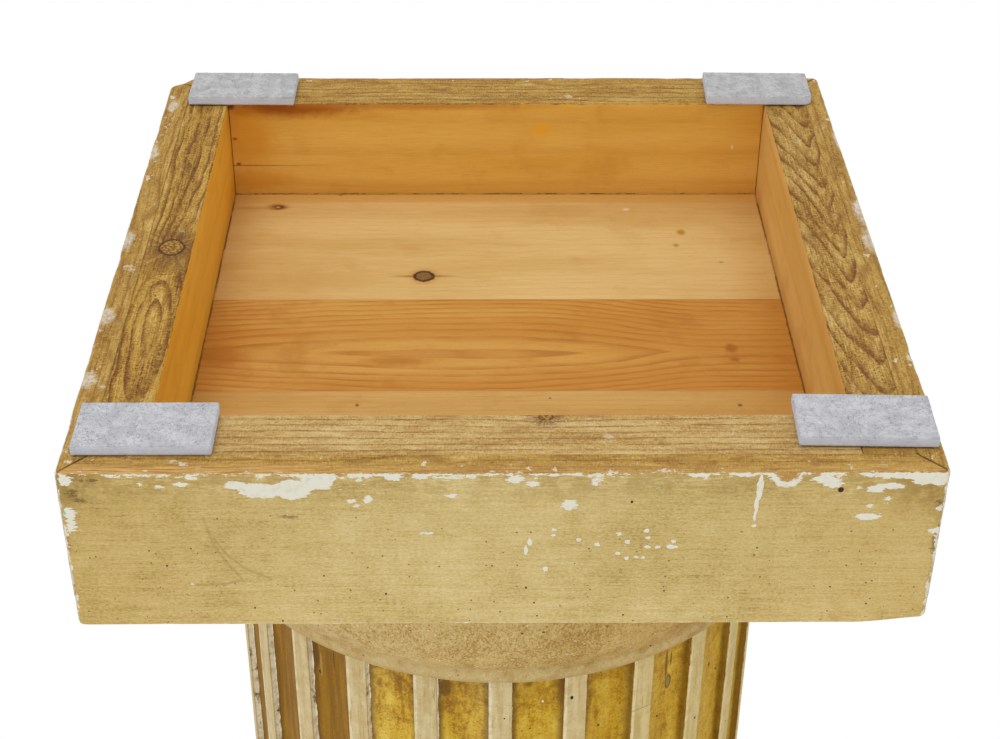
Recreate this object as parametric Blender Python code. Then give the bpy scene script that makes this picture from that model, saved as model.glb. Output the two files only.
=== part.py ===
"""Fluted column pedestal: a hollow square plinth on felt pads, a round base collar,
a shaft with square-ended flutes, a neck collar and a square top board.

Metres, +Z up. The origin is on the floor, under the middle of the plinth.
The side with the thicker inner board faces -Y.
"""
import math

import bmesh
import bpy

# Gap between pieces that touch
GAP = 0.0003

# Shaft and its flutes
SHAFT_RADIUS = 0.138
SHAFT_LENGTH = 0.800
FLUTE_COUNT = 24
FILLET_WIDTH = 0.0110
FLUTE_WALL_DEPTH = 0.0032
FLUTE_HOLLOW = 0.0020
FLOOR_SEGMENTS = 6

# Base collar: a swelling foot under a narrow band that stands proud of the shaft
COLLAR_HEIGHT = 0.062
BAND_HEIGHT = 0.0076
BAND_PROJECTION = 0.0132
BAND_QUIRK = 0.0012
COLLAR_FOOT_PROJECTION = 0.026
COLLAR_BULGE = 0.005
COLLAR_STEPS = 9

# Neck collar: the same form turned over, lower and plainer
NECK_HEIGHT = 0.044
NECK_FOOT_PROJECTION = 0.024
NECK_BULGE = 0.004

# Plinth: mitred facing boards round four inner boards and a bottom panel, open below
PLINTH_MARGIN = 0.016
PLINTH_HEIGHT = 0.082
FACING_THICKNESS = 0.012
SIDE_INNER_THICKNESS = 0.0218
BACK_INNER_THICKNESS = 0.0206
FRONT_INNER_THICKNESS = 0.0278
CORNER_RADIUS = 0.0030
EDGE_RADIUS = 0.0022
PANEL_THICKNESS = 0.0255
PANEL_BACK_BOARD = 0.1094
PANEL_MIDDLE_BOARD = 0.0806

# Felt pads, and how far each stands in from the plinth's side and from its front or back
PAD_LENGTH = 0.057
PAD_WIDTH = 0.0305
PAD_THICKNESS = 0.005
PAD_INSETS = {
    "felt_pad_front_right": (0.0054, 0.0112, 0.0),
    "felt_pad_front_left": (0.0022, 0.0160, -1.5),
    "felt_pad_back_right": (0.0135, 0.0061, 0.8),
    "felt_pad_back_left": (0.0086, 0.0058, -1.2),
}

# Top board
TOP_MARGIN = 0.018
TOP_THICKNESS = 0.046
TOP_CORNER_RADIUS = 0.004
TOP_EDGE_RADIUS = 0.005

ROUND_SEGMENTS = 96
ARC_STEPS = 3

PAINT = (0.58, 0.43, 0.17)
FILLET_PAINT = (0.62, 0.46, 0.22)
BARE_WOOD = (0.55, 0.33, 0.11)
PANEL_WOOD = (0.66, 0.38, 0.12)
FELT = (0.58, 0.58, 0.61)

foot_radius = SHAFT_RADIUS + COLLAR_FOOT_PROJECTION
neck_foot_radius = SHAFT_RADIUS + NECK_FOOT_PROJECTION
band_radius = SHAFT_RADIUS + BAND_PROJECTION
plinth_half = foot_radius + PLINTH_MARGIN
top_half = neck_foot_radius + TOP_MARGIN

rim_z = PAD_THICKNESS + GAP
plinth_top_z = rim_z + PLINTH_HEIGHT
collar_z = plinth_top_z + GAP
shaft_z = collar_z + COLLAR_HEIGHT + GAP
neck_z = shaft_z + SHAFT_LENGTH + GAP
top_board_z = neck_z + NECK_HEIGHT + GAP


def clear_scene():
    for old in list(bpy.data.objects):
        bpy.data.objects.remove(old, do_unlink=True)


def material(name, colour, roughness):
    made = bpy.data.materials.new(name)
    made.use_nodes = True
    shader = made.node_tree.nodes["Principled BSDF"]
    shader.inputs["Base Color"].default_value = (*colour, 1.0)
    shader.inputs["Roughness"].default_value = roughness
    shader.inputs["Metallic"].default_value = 0.0
    return made


def add_object(name, verts, faces, finish, smooth_angle=None):
    mesh = bpy.data.meshes.new(name)
    mesh.from_pydata(verts, [], faces)
    shell = bmesh.new()
    shell.from_mesh(mesh)
    bmesh.ops.recalc_face_normals(shell, faces=shell.faces)
    shell.to_mesh(mesh)
    shell.free()
    if smooth_angle is not None:
        mesh.shade_smooth()
        mesh.set_sharp_from_angle(angle=math.radians(smooth_angle))
    mesh.materials.append(finish)
    made = bpy.data.objects.new(name, mesh)
    bpy.context.collection.objects.link(made)
    return made


def prism(outline, low, high):
    """Vertices and faces of a plan outline raised from low to high."""
    count = len(outline)
    verts = [(x, y, low) for x, y in outline] + [(x, y, high) for x, y in outline]
    faces = [tuple(range(count))[::-1], tuple(range(count, 2 * count))]
    for i in range(count):
        after = (i + 1) % count
        faces.append((i, after, count + after, count + i))
    return verts, faces


def turned(profile, segments):
    """A solid of revolution about Z from (radius, height) pairs, bottom to top."""
    verts = []
    for radius, height in profile:
        for k in range(segments):
            angle = 2 * math.pi * k / segments
            verts.append((radius * math.sin(angle), -radius * math.cos(angle), height))
    faces = [tuple(range(segments))[::-1]]
    for ring in range(len(profile) - 1):
        for k in range(segments):
            after = (k + 1) % segments
            low, high = ring * segments, (ring + 1) * segments
            faces.append((low + k, low + after, high + after, high + k))
    last = (len(profile) - 1) * segments
    faces.append(tuple(range(last, last + segments)))
    return verts, faces


def bulged_line(start, end, bulge, steps):
    """Points on the arc from start to end that stands out by bulge at its middle."""
    dr, dz = end[0] - start[0], end[1] - start[1]
    chord = math.hypot(dr, dz)
    radius = (chord * chord / 4 + bulge * bulge) / (2 * bulge)
    half = math.asin(chord / (2 * radius))
    middle = ((start[0] + end[0]) / 2, (start[1] + end[1]) / 2)
    out = (dz / chord, -dr / chord)
    along = (dr / chord, dz / chord)
    points = []
    for i in range(steps + 1):
        angle = half * (2 * i / steps - 1)
        rise = radius * math.cos(angle) - (radius - bulge)
        run = radius * math.sin(angle)
        points.append((middle[0] + out[0] * rise + along[0] * run,
                       middle[1] + out[1] * rise + along[1] * run))
    return points


def collar_profile(foot, height, bulge):
    """Foot, swelling side, quirk and band, from the wide foot at zero to the band's far face."""
    neck_height = height - BAND_HEIGHT
    side = bulged_line((foot, 0.0), (band_radius - BAND_QUIRK, neck_height), bulge, COLLAR_STEPS)
    return side + [(band_radius, neck_height + BAND_QUIRK), (band_radius, height)]


def fluted_outline():
    """Plan of the shaft: fillets at the full radius, and between them flutes with a hollow floor."""
    pitch = 2 * math.pi / FLUTE_COUNT
    half_fillet = FILLET_WIDTH / (2 * SHAFT_RADIUS)
    floor_radius = SHAFT_RADIUS - FLUTE_WALL_DEPTH
    outline = []
    for flute in range(FLUTE_COUNT):
        centre = flute * pitch
        for angle in (centre - half_fillet, centre, centre + half_fillet):
            outline.append((SHAFT_RADIUS * math.sin(angle), -SHAFT_RADIUS * math.cos(angle)))
        start, end = centre + half_fillet, centre + pitch - half_fillet
        for step in range(FLOOR_SEGMENTS + 1):
            share = step / FLOOR_SEGMENTS
            radius = floor_radius - FLUTE_HOLLOW * math.sin(math.pi * share)
            angle = start + (end - start) * share
            outline.append((radius * math.sin(angle), -radius * math.cos(angle)))
    return outline


def facing_section():
    """Section of a facing board: depth in from its outer face, height above the rim."""
    section = []
    for step in range(ARC_STEPS + 1):
        angle = math.pi / 2 * step / ARC_STEPS
        section.append((EDGE_RADIUS * (1 - math.sin(angle)), EDGE_RADIUS * (1 - math.cos(angle))))
    for step in range(ARC_STEPS + 1):
        angle = math.pi / 2 * step / ARC_STEPS
        section.append((EDGE_RADIUS * (1 - math.cos(angle)),
                        PLINTH_HEIGHT - EDGE_RADIUS * (1 - math.sin(angle))))
    return section + [(FACING_THICKNESS, PLINTH_HEIGHT), (FACING_THICKNESS, 0.0)]


def facing_stations():
    """Stations along a facing board, as the corner's angle at each, mitre to mitre."""
    arc = [math.pi / 4 * step / ARC_STEPS for step in range(ARC_STEPS + 1)]
    return [-angle for angle in reversed(arc)] + arc


def facing_board(name, turn, finish):
    """One mitred facing board; turn takes the front board round to its own side."""
    section = facing_section()
    stations = facing_stations()
    mitre_shift = GAP / math.sqrt(2)
    centre = plinth_half - CORNER_RADIUS
    straight_end = centre - FACING_THICKNESS
    verts = []
    for number, angle in enumerate(stations):
        side = -1 if number <= ARC_STEPS else 1
        share = abs(angle) / (math.pi / 4)
        for depth, height in section:
            inner = CORNER_RADIUS - depth
            if inner > 0:
                x = centre + inner * math.sin(abs(angle))
                y = -(centre + inner * math.cos(angle))
            else:
                x = straight_end + (centre + inner - straight_end) * share
                y = -(centre + inner)
            x = side * (x - mitre_shift * share)
            verts.append((x * math.cos(turn) - y * math.sin(turn),
                          x * math.sin(turn) + y * math.cos(turn), rim_z + height))
    count = len(section)
    faces = [tuple(range(count)), tuple(range(len(verts) - count, len(verts)))[::-1]]
    for station in range(len(stations) - 1):
        low, high = station * count, (station + 1) * count
        for i in range(count):
            after = (i + 1) % count
            faces.append((low + i, high + i, high + after, low + after))
    return add_object(name, verts, faces, finish, smooth_angle=35)


def board(name, low, high, finish):
    """A plain sawn board between two opposite corners."""
    outline = [(low[0], low[1]), (high[0], low[1]), (high[0], high[1]), (low[0], high[1])]
    return add_object(name, *prism(outline, low[2], high[2]), finish)


def plinth():
    painted = material("plinth_paint", PAINT, 0.55)
    bare = material("plinth_bare_wood", BARE_WOOD, 0.7)
    panel = material("panel_wood", PANEL_WOOD, 0.5)
    for number, side in enumerate(("front", "right", "back", "left")):
        facing_board("plinth_facing_" + side, number * math.pi / 2, painted)

    outer = plinth_half - FACING_THICKNESS - GAP
    side_x = outer - SIDE_INNER_THICKNESS
    front_y = -outer + FRONT_INNER_THICKNESS
    back_y = outer - BACK_INNER_THICKNESS
    board("plinth_inner_right", (side_x, -outer, rim_z), (outer, outer, plinth_top_z), bare)
    board("plinth_inner_left", (-outer, -outer, rim_z), (-side_x, outer, plinth_top_z), bare)
    run = side_x - GAP
    board("plinth_inner_front", (-run, -outer, rim_z), (run, front_y, plinth_top_z), bare)
    board("plinth_inner_back", (-run, back_y, rim_z), (run, outer, plinth_top_z), bare)

    panel_z = plinth_top_z - PANEL_THICKNESS
    back_joint = back_y - GAP - PANEL_BACK_BOARD
    middle_joint = back_joint - GAP - PANEL_MIDDLE_BOARD
    spans = {
        "panel_board_back": (back_joint, back_y - GAP),
        "panel_board_middle": (middle_joint, back_joint - GAP),
        "panel_board_front": (front_y + GAP, middle_joint - GAP),
    }
    for name, (near, far) in spans.items():
        board(name, (-run, near, panel_z), (run, far, plinth_top_z), panel)


def felt_pads():
    felt = material("felt", FELT, 0.95)
    for name, (side_inset, end_inset, degrees) in PAD_INSETS.items():
        across = 1 if name.endswith("right") else -1
        along = 1 if "back" in name else -1
        centre_x = across * (plinth_half - side_inset - PAD_LENGTH / 2)
        centre_y = along * (plinth_half - end_inset - PAD_WIDTH / 2)
        turn = math.radians(degrees)
        outline = []
        for x, y in ((-1, -1), (1, -1), (1, 1), (-1, 1)):
            dx, dy = x * PAD_LENGTH / 2, y * PAD_WIDTH / 2
            outline.append((centre_x + dx * math.cos(turn) - dy * math.sin(turn),
                            centre_y + dx * math.sin(turn) + dy * math.cos(turn)))
        add_object(name, *prism(outline, 0.0, PAD_THICKNESS), felt)


def collars():
    painted = material("collar_paint", PAINT, 0.55)
    base = [(r, collar_z + z) for r, z in
            collar_profile(foot_radius, COLLAR_HEIGHT, COLLAR_BULGE)]
    add_object("base_collar", *turned(base, ROUND_SEGMENTS), painted, smooth_angle=30)
    neck_top = neck_z + NECK_HEIGHT
    neck = [(r, neck_top - z) for r, z in
            reversed(collar_profile(neck_foot_radius, NECK_HEIGHT, NECK_BULGE))]
    add_object("neck_collar", *turned(neck, ROUND_SEGMENTS), painted, smooth_angle=30)


def shaft():
    painted = material("fillet_paint", FILLET_PAINT, 0.5)
    verts, faces = prism(fluted_outline(), shaft_z, shaft_z + SHAFT_LENGTH)
    add_object("fluted_shaft", verts, faces, painted, smooth_angle=30)


def rounded_square(half, radius, steps):
    """Plan of a square with rounded corners."""
    outline = []
    for corner in range(4):
        base = -math.pi / 2 + corner * math.pi / 2
        middle = base + math.pi / 4
        x = (half - radius) * math.sqrt(2) * math.cos(middle)
        y = (half - radius) * math.sqrt(2) * math.sin(middle)
        for step in range(steps + 1):
            angle = base + math.pi / 2 * step / steps
            outline.append((x + radius * math.cos(angle), y + radius * math.sin(angle)))
    return outline


def top_board():
    """A square board whose edges are rounded over above and below."""
    painted = material("top_paint", PAINT, 0.55)
    steps = 2 * ARC_STEPS
    levels = []
    for step in range(ARC_STEPS + 1):
        angle = math.pi / 2 * step / ARC_STEPS
        levels.append((TOP_EDGE_RADIUS * (1 - math.sin(angle)),
                       TOP_EDGE_RADIUS * (1 - math.cos(angle))))
    levels += [(inset, TOP_THICKNESS - height) for inset, height in reversed(levels)]
    verts = []
    for inset, height in levels:
        for x, y in rounded_square(top_half, TOP_CORNER_RADIUS + TOP_EDGE_RADIUS, steps):
            share = (top_half - inset) / top_half
            verts.append((x * share, y * share, top_board_z + height))
    count = 4 * (steps + 1)
    faces = [tuple(range(count))[::-1], tuple(range(len(verts) - count, len(verts)))]
    for level in range(len(levels) - 1):
        low, high = level * count, (level + 1) * count
        for i in range(count):
            after = (i + 1) % count
            faces.append((low + i, low + after, high + after, high + i))
    add_object("top_board", verts, faces, painted, smooth_angle=35)


clear_scene()
plinth()
felt_pads()
collars()
shaft()
top_board()
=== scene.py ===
import math
from itertools import product

import bmesh
import bpy
import numpy as np
from mathutils import Matrix, Vector


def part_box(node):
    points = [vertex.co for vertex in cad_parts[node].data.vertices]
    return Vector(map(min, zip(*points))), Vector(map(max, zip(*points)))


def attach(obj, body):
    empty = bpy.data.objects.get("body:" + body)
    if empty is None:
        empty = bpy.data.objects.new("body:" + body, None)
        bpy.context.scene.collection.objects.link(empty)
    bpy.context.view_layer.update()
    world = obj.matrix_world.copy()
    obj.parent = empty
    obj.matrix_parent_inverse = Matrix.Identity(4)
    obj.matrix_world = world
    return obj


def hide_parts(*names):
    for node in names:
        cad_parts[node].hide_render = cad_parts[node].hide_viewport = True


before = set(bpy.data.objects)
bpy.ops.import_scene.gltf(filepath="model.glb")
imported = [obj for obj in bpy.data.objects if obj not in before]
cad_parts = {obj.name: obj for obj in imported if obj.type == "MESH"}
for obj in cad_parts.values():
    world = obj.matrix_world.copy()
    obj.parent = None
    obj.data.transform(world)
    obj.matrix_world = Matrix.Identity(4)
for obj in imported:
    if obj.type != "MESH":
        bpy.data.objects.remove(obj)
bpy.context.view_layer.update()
print("Pedestal: frame loaded")

mm = 0.001
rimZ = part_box("plinth_facing_front")[0].z
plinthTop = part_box("plinth_facing_front")[1].z
plinthHalf = -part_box("plinth_facing_front")[0].y
facingInner = -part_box("plinth_facing_front")[1].y
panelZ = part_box("panel_board_middle")[0].z
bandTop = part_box("base_collar")[1].z
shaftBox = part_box("fluted_shaft")
sides = ("front", "right", "back", "left")


# Camera: under the pedestal and turned over, so that the open underside faces up in the picture
cameraView = {
    "lensMm": 66.69,
    "sensorMm": 36.0,
    "place": (-0.01024, -0.76403, 0.45485),  # metres, with the pedestal turned over, from its rim's middle
    "pitchDeg": 34.717,
    "yawDeg": 0.828,
    "rollDeg": 0.378,
}
photoSize = (1000, 739)


def intoScene(name, data):
    made = bpy.data.objects.new(name, data)
    bpy.context.scene.collection.objects.link(made)
    return made


def makeCamera(v):
    data = bpy.data.cameras.new("photoCamera")
    data.lens = v["lensMm"]
    data.sensor_width = v["sensorMm"]
    data.clip_start = 0.01
    data.clip_end = 50
    made = intoScene("photoCamera", data)
    pitch, yaw, roll = (math.radians(v[key]) for key in ("pitchDeg", "yawDeg", "rollDeg"))
    forward = Vector((math.sin(yaw) * math.cos(pitch), math.cos(yaw) * math.cos(pitch), -math.sin(pitch)))
    right = Vector((math.cos(yaw), -math.sin(yaw), 0))
    up = right.cross(forward)
    rolledRight = right * math.cos(roll) + up * math.sin(roll)
    rolledUp = up * math.cos(roll) - right * math.sin(roll)
    place = Matrix((rolledRight, rolledUp, -forward)).transposed().to_4x4()
    place.translation = Vector(v["place"])
    turnedOver = Matrix.Translation((0, 0, rimZ)) @ Matrix.Rotation(math.pi, 4, "Y")
    made.matrix_world = turnedOver @ place
    bpy.context.scene.camera = made
    return made.matrix_world.copy()


cameraMatrix = makeCamera(cameraView)


# Where a point of the photograph falls on a plane of the pedestal (axis 0, 1 or 2 at a value)
def fromPhoto(px, py, axis, value):
    focal = cameraView["lensMm"] / cameraView["sensorMm"] * photoSize[0]
    ray = Vector(((px - photoSize[0] / 2) / focal, (photoSize[1] / 2 - py) / focal, -1))
    ray = cameraMatrix.to_3x3() @ ray
    start = cameraMatrix.translation
    return start + ray * ((value - start[axis]) / ray[axis])


# Smooth random values from -1 to 1 at points, one lump for each size
def lumps(points, size, seed):
    q = np.asarray(points, float) / np.asarray(size, float)
    cell = np.floor(q).astype(np.int64)
    f = q - cell
    f = f * f * (3 - 2 * f)
    total = np.zeros(len(q))
    for corner in range(8):
        step = np.array([corner & 1, corner >> 1 & 1, corner >> 2 & 1])
        c = (cell + step).astype(np.uint64)
        h = c[:, 0] * np.uint64(73856093) ^ c[:, 1] * np.uint64(19349663) ^ c[:, 2] * np.uint64(83492791)
        h = (h ^ np.uint64(seed * 2654435761)) & np.uint64(0xFFFFFFFF)
        h = (h ^ (h >> np.uint64(15))) * np.uint64(2246822519) & np.uint64(0xFFFFFFFF)
        h = (h ^ (h >> np.uint64(13))) * np.uint64(3266489917) & np.uint64(0xFFFFFFFF)
        h = h ^ (h >> np.uint64(16))
        weight = np.prod(np.where(step, f, 1 - f), axis=1)
        total += weight * (h.astype(float) / 0xFFFFFFFF * 2 - 1)
    return total


def layeredLumps(points, size, seed, layers=3):
    size = np.asarray(size, float)
    return sum(lumps(points, size / 2 ** i, seed + i) * 0.5 ** i for i in range(layers)) / 1.6


def dents(points, size, seed, depth):
    return (layeredLumps(points, size, seed) + 1) / 2 * depth


def turned(points, angle):
    cos, sin = math.cos(angle), math.sin(angle)
    made = points.copy()
    made[:, 0] = points[:, 0] * cos - points[:, 1] * sin
    made[:, 1] = points[:, 0] * sin + points[:, 1] * cos
    return made


# Mesh helpers
def gridQuads(rows, columns, closeColumns=False):
    last = columns if closeColumns else columns - 1
    r, c = np.meshgrid(np.arange(rows - 1), np.arange(last), indexing="ij")
    after = (c + 1) % columns
    quads = np.stack([r * columns + c, r * columns + after, (r + 1) * columns + after,
                      (r + 1) * columns + c], -1)
    return quads.reshape(-1, 4).tolist()


def endCaps(rows, columns):
    return [list(range(columns)), list(range((rows - 1) * columns, rows * columns))]


def addPiece(name, verts, faces, finishes, attributes=None, sharpDeg=40):
    mesh = bpy.data.meshes.new(name)
    mesh.from_pydata(np.asarray(verts).tolist(), [], faces)
    for finish in finishes:
        mesh.materials.append(finish)
    shell = bmesh.new()
    shell.from_mesh(mesh)
    bmesh.ops.recalc_face_normals(shell, faces=shell.faces)
    shell.to_mesh(mesh)
    shell.free()
    mesh.shade_smooth()
    mesh.set_sharp_from_angle(angle=math.radians(sharpDeg))
    for key, values in (attributes or {}).items():
        values = np.asarray(values, np.float32)
        kind, field = ("FLOAT_VECTOR", "vector") if values.ndim == 2 else ("FLOAT", "value")
        mesh.attributes.new(key, kind, "POINT").data.foreach_set(field, values.ravel())
    return intoScene(name, mesh)


def dress(piece, slot, *nodes):
    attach(piece, "root")
    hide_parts(*nodes)


# A node's output, used like a number: each sum or comparison adds a node
class Signal:
    def __init__(self, owner, socket):
        self.owner = owner
        self.socket = socket

    def __add__(self, other):
        return self.owner.math("ADD", self, other)

    def __sub__(self, other):
        return self.owner.math("SUBTRACT", self, other)

    def __rsub__(self, other):
        return self.owner.math("SUBTRACT", other, self)

    def __mul__(self, other):
        return self.owner.math("MULTIPLY", self, other)

    def __truediv__(self, other):
        return self.owner.math("DIVIDE", self, other)

    def __rtruediv__(self, other):
        return self.owner.math("DIVIDE", other, self)

    def __pow__(self, other):
        return self.owner.math("POWER", self, other)

    def __lt__(self, other):
        return self.owner.math("LESS_THAN", self, other)

    def __gt__(self, other):
        return self.owner.math("GREATER_THAN", self, other)

    def __abs__(self):
        return self.owner.math("ABSOLUTE", self)

    def other(self, name):  # another output of the same node
        return Signal(self.owner, self.socket.node.outputs[name])


# A node tree: each call adds a node and gives its output back
class Nodes:
    def __init__(self, tree):
        self.tree = tree

    def node(self, kind, inputs=(), output=0, **settings):
        made = self.tree.nodes.new(kind)
        for key, value in settings.items():
            setattr(made, key, value)
        for key, value in dict(inputs).items():
            self.feed(made.inputs[key], value)
        return Signal(self, made.outputs[output])

    def feed(self, socket, value):
        if isinstance(value, Signal):
            self.tree.links.new(value.socket, socket)
        elif socket.type == "RGBA":
            socket.default_value = (*value, 1)
        else:
            socket.default_value = value

    def math(self, operation, *values):
        return self.node("ShaderNodeMath", enumerate(values), operation=operation)

    def most(self, a, b):
        return self.math("MAXIMUM", a, b)

    def least(self, a, b):
        return self.math("MINIMUM", a, b)

    def hypot(self, a, b):
        return self.math("SQRT", a * a + b * b)

    def join(self, x, y, z=0.0):
        return self.node("ShaderNodeCombineXYZ", {0: x, 1: y, 2: z})

    def noise(self, vector, scale=1.0, detail=3.0, roughness=0.55, distortion=0.0, output="Fac"):
        inputs = {"Vector": vector, "Scale": scale, "Detail": detail,
                  "Roughness": roughness, "Distortion": distortion}
        return self.node("ShaderNodeTexNoise", inputs, output)


# A material; its other methods are noises, ranges and mixes
class Finish(Nodes):
    def __init__(self, name):
        self.material = bpy.data.materials.new(name)
        self.material.use_nodes = True
        super().__init__(self.material.node_tree)
        self.shader = self.tree.nodes["Principled BSDF"]

    def place(self):
        return self.node("ShaderNodeTexCoord", output="Object")

    def attribute(self, name, output="Fac"):
        return self.node("ShaderNodeAttribute", output=output, attribute_name=name)

    def vector(self, operation, *values, output=0):
        return self.node("ShaderNodeVectorMath", enumerate(values), output, operation=operation)

    def scaled(self, vector, amount):
        return self.node("ShaderNodeVectorMath", {"Vector": vector, "Scale": amount}, operation="SCALE")

    def split(self, vector):
        x = self.node("ShaderNodeSeparateXYZ", {0: vector})
        return x, x.other("Y"), x.other("Z")

    def flat(self, u, v, wide, high, shift, detail, roughness=0.55, distortion=0.0):
        return self.noise(self.join(u / wide, v / high, shift), 1.0, detail, roughness, distortion)

    def stretched(self, vector, sizes, detail=3.0, roughness=0.55, distortion=0.0, output="Fac"):
        scaled = self.vector("MULTIPLY", vector, tuple(1 / s for s in sizes))
        return self.noise(scaled, 1.0, detail, roughness, distortion, output)

    def cells(self, vector, scale, **settings):
        return self.node("ShaderNodeTexVoronoi", {"Vector": vector, "Scale": scale}, "Distance",
                         feature="F1", **settings)

    def span(self, value, low, high, toLow=0.0, toHigh=1.0, smooth=True):
        inputs = {0: value, 1: low, 2: high, 3: toLow, 4: toHigh}
        return self.node("ShaderNodeMapRange", inputs, clamp=True,
                         interpolation_type="SMOOTHSTEP" if smooth else "LINEAR")

    def mix(self, share, a, b, blend="MIX"):
        inputs = {0: share, 6: a, 7: b}
        return self.node("ShaderNodeMix", inputs, 2, data_type="RGBA", blend_type=blend)

    # One colour laid over another as a value goes from low to high
    def over(self, under, colour, value, low, high, strength=1.0):
        return self.mix(self.span(value, low, high, 0.0, strength), under, colour)

    def ramp(self, value, stops):
        made = self.node("ShaderNodeValToRGB", {0: value})
        elements = made.socket.node.color_ramp.elements
        elements.remove(elements[1])
        elements[0].position = stops[0][0]
        elements[0].color = (*stops[0][1], 1)
        for at, colour in stops[1:]:
            elements.new(at).color = (*colour, 1)
        return made

    def bump(self, height, distance, strength):
        return self.node("ShaderNodeBump", {"Height": height, "Distance": distance, "Strength": strength})

    def finish(self, colour, roughness, normal=None, **constants):
        self.feed(self.shader.inputs["Base Color"], colour)
        self.feed(self.shader.inputs["Roughness"], roughness)
        if normal is not None:
            self.feed(self.shader.inputs["Normal"], normal)
        for key, value in constants.items():
            self.shader.inputs[key.replace("_", " ")].default_value = value
        return self.material


# Distance to the nearest of several ovals, under 1 inside, on two axes of a vector
def ovalField(f, vector, ovals, axes=(0, 2)):
    nearest = None
    for centre, radii in ovals:
        scale = [0.0, 0.0, 0.0]
        shift = [0.0, 0.0, 0.0]
        for k, axis in enumerate(axes):
            scale[axis] = 1 / radii[k]
            shift[axis] = -centre[k] / radii[k]
        local = f.vector("MULTIPLY_ADD", vector, tuple(scale), tuple(shift))
        length = f.vector("LENGTH", local, output="Value")
        nearest = length if nearest is None else f.least(nearest, length)
    return nearest


# An oval on the front facing from a box in the photograph
def frontOval(box):
    a = fromPhoto(box[0], box[1], 1, -plinthHalf)
    b = fromPhoto(box[2], box[3], 1, -plinthHalf)
    return ((a.x + b.x) / 2, (a.z + b.z) / 2), (abs(a.x - b.x) / 2, abs(a.z - b.z) / 2)


def frontOvals(f, vector, boxes):
    return ovalField(f, vector, [frontOval(box) for box in boxes])


# Growth rings on a board: dark lines, spaced and figured as the grain says, and pushed aside by knots
def pineRings(f, along, across, grain):
    coarse = f.flat(along, across, 1 / 5, 1 / 22, 0.0, 2.0)
    wavy = f.flat(along, across, 1 / 32, 1 / 90, 2.0, 2.0)
    warp = grain["warp"]
    distance = coarse * warp + (wavy * (warp * 0.3) + across)
    plain = distance
    if "figure" in grain:  # nested ovals, drawn out by a share each way along the board
        (cx, cy), shareLow, shareHigh = grain["figure"]
        away = distance - (cy + warp * 0.65)
        offset = along - cx
        drawn = f.most(offset * shareHigh, offset * -shareLow)
        distance = f.hypot(away, drawn)
        if "fade" in grain:  # plain lines past one place along the board, the whole figure past the other
            figured = f.span(along, *grain["fade"])
            distance = figured * (distance - plain) + plain
    if "lens" in grain:  # nested pointed lenses, with a curve each way along the board
        (cx, cy), curveLow, curveHigh = grain["lens"]
        away = distance - (cy + warp * 0.65)
        offset = along - cx
        drawn = f.most(offset * curveHigh, offset * -curveLow)
        drawn = f.math("SMOOTH_MIN", drawn * abs(offset), grain["cap"], 0.01)
        away = f.hypot(away, 0.0012)
        distance = away + drawn
    if "peak" in grain:  # nested points, one behind another along the board
        centre, slope = grain["peak"]
        distance = along * slope + f.hypot(distance - (centre + warp * 0.65), 0.0016)
    for (kx, ky), radius in grain.get("knots", ()):
        dx = (along - kx) * 0.45
        dy = across - ky
        away = f.hypot(dx, dy)
        pull = f.math("EXPONENT", away * (-1 / (radius * 1.6)))
        distance = pull * (radius * 1.5) + distance
    phase = distance / grain["spacing"]
    if "crowd" in grain:
        phase = phase ** grain["crowd"] + 0.75
    whole = f.math("FRACT", phase)
    rise = f.span(whole, grain.get("start", 0.55), 0.92)
    fall = f.span(whole, 0.92, 1.0, 1.0, 0.0)
    return rise * fall


# Colours of old ochre paint: streaked, mottled and specked; gives colour and relief
def agedPaint(f, vector, look, seed=0.0):
    moved = f.vector("ADD", vector, (seed, seed * 0.7, seed * 1.3))
    broad = f.noise(moved, 20.0, 3.0, 0.55)
    patches = f.noise(moved, 95.0, 4.0, 0.7)
    brushed = f.stretched(moved, look["brushed"], 5.0, 0.72)
    longer = f.stretched(moved, look["streaks"], 3.0, 0.6)
    fine = f.stretched(moved, (0.0016, 0.0010, 0.0009), 3.0, 0.8)
    tone = broad * 0.42 + patches * 0.34 + brushed * 0.46 + longer * 0.36 + fine * 0.92
    stops = ((0.0, look["paintGrime"]), (0.32, look["paintDark"]), (0.62, look["paintMid"]),
             (1.0, look["paintLight"]))
    colour = f.ramp(f.span(tone, 1.00, 1.50, smooth=False), stops)
    crack = f.stretched(moved, (0.030, 0.030, 0.0011), 4.0, 0.6)
    crack = f.span(abs(crack - 0.5), 0.0, 0.012, 1.0, 0.0)
    crack = crack * f.span(f.noise(moved, 70.0, 3.0, 0.6), 0.56, 0.66)
    colour = f.mix(crack * 0.5, colour, look["paintGrime"])
    specks = f.span(f.cells(moved, 300.0), 0.08, 0.15, 1.0, 0.0)
    rare = f.span(f.noise(moved, 60.0, 3.0, 0.6), 0.55, 0.62)
    colour = f.mix(specks * rare * 0.55, colour, (0.26, 0.16, 0.05))
    return colour, brushed * 0.8 + fine * 0.5


# Small dark worm holes scattered over a face
def wormHoles(f, u, v, spacing=0.0085, radius=0.00045, share=0.26):
    flat = f.join(u / spacing, v / spacing, 0.0)
    distance = f.cells(flat, 1.0, voronoi_dimensions="2D")
    pick = f.split(distance.other("Color"))
    wide = pick[1] * (radius / spacing) + radius / spacing * 0.45
    return (distance < wide) * (pick[0] < share)


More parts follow.
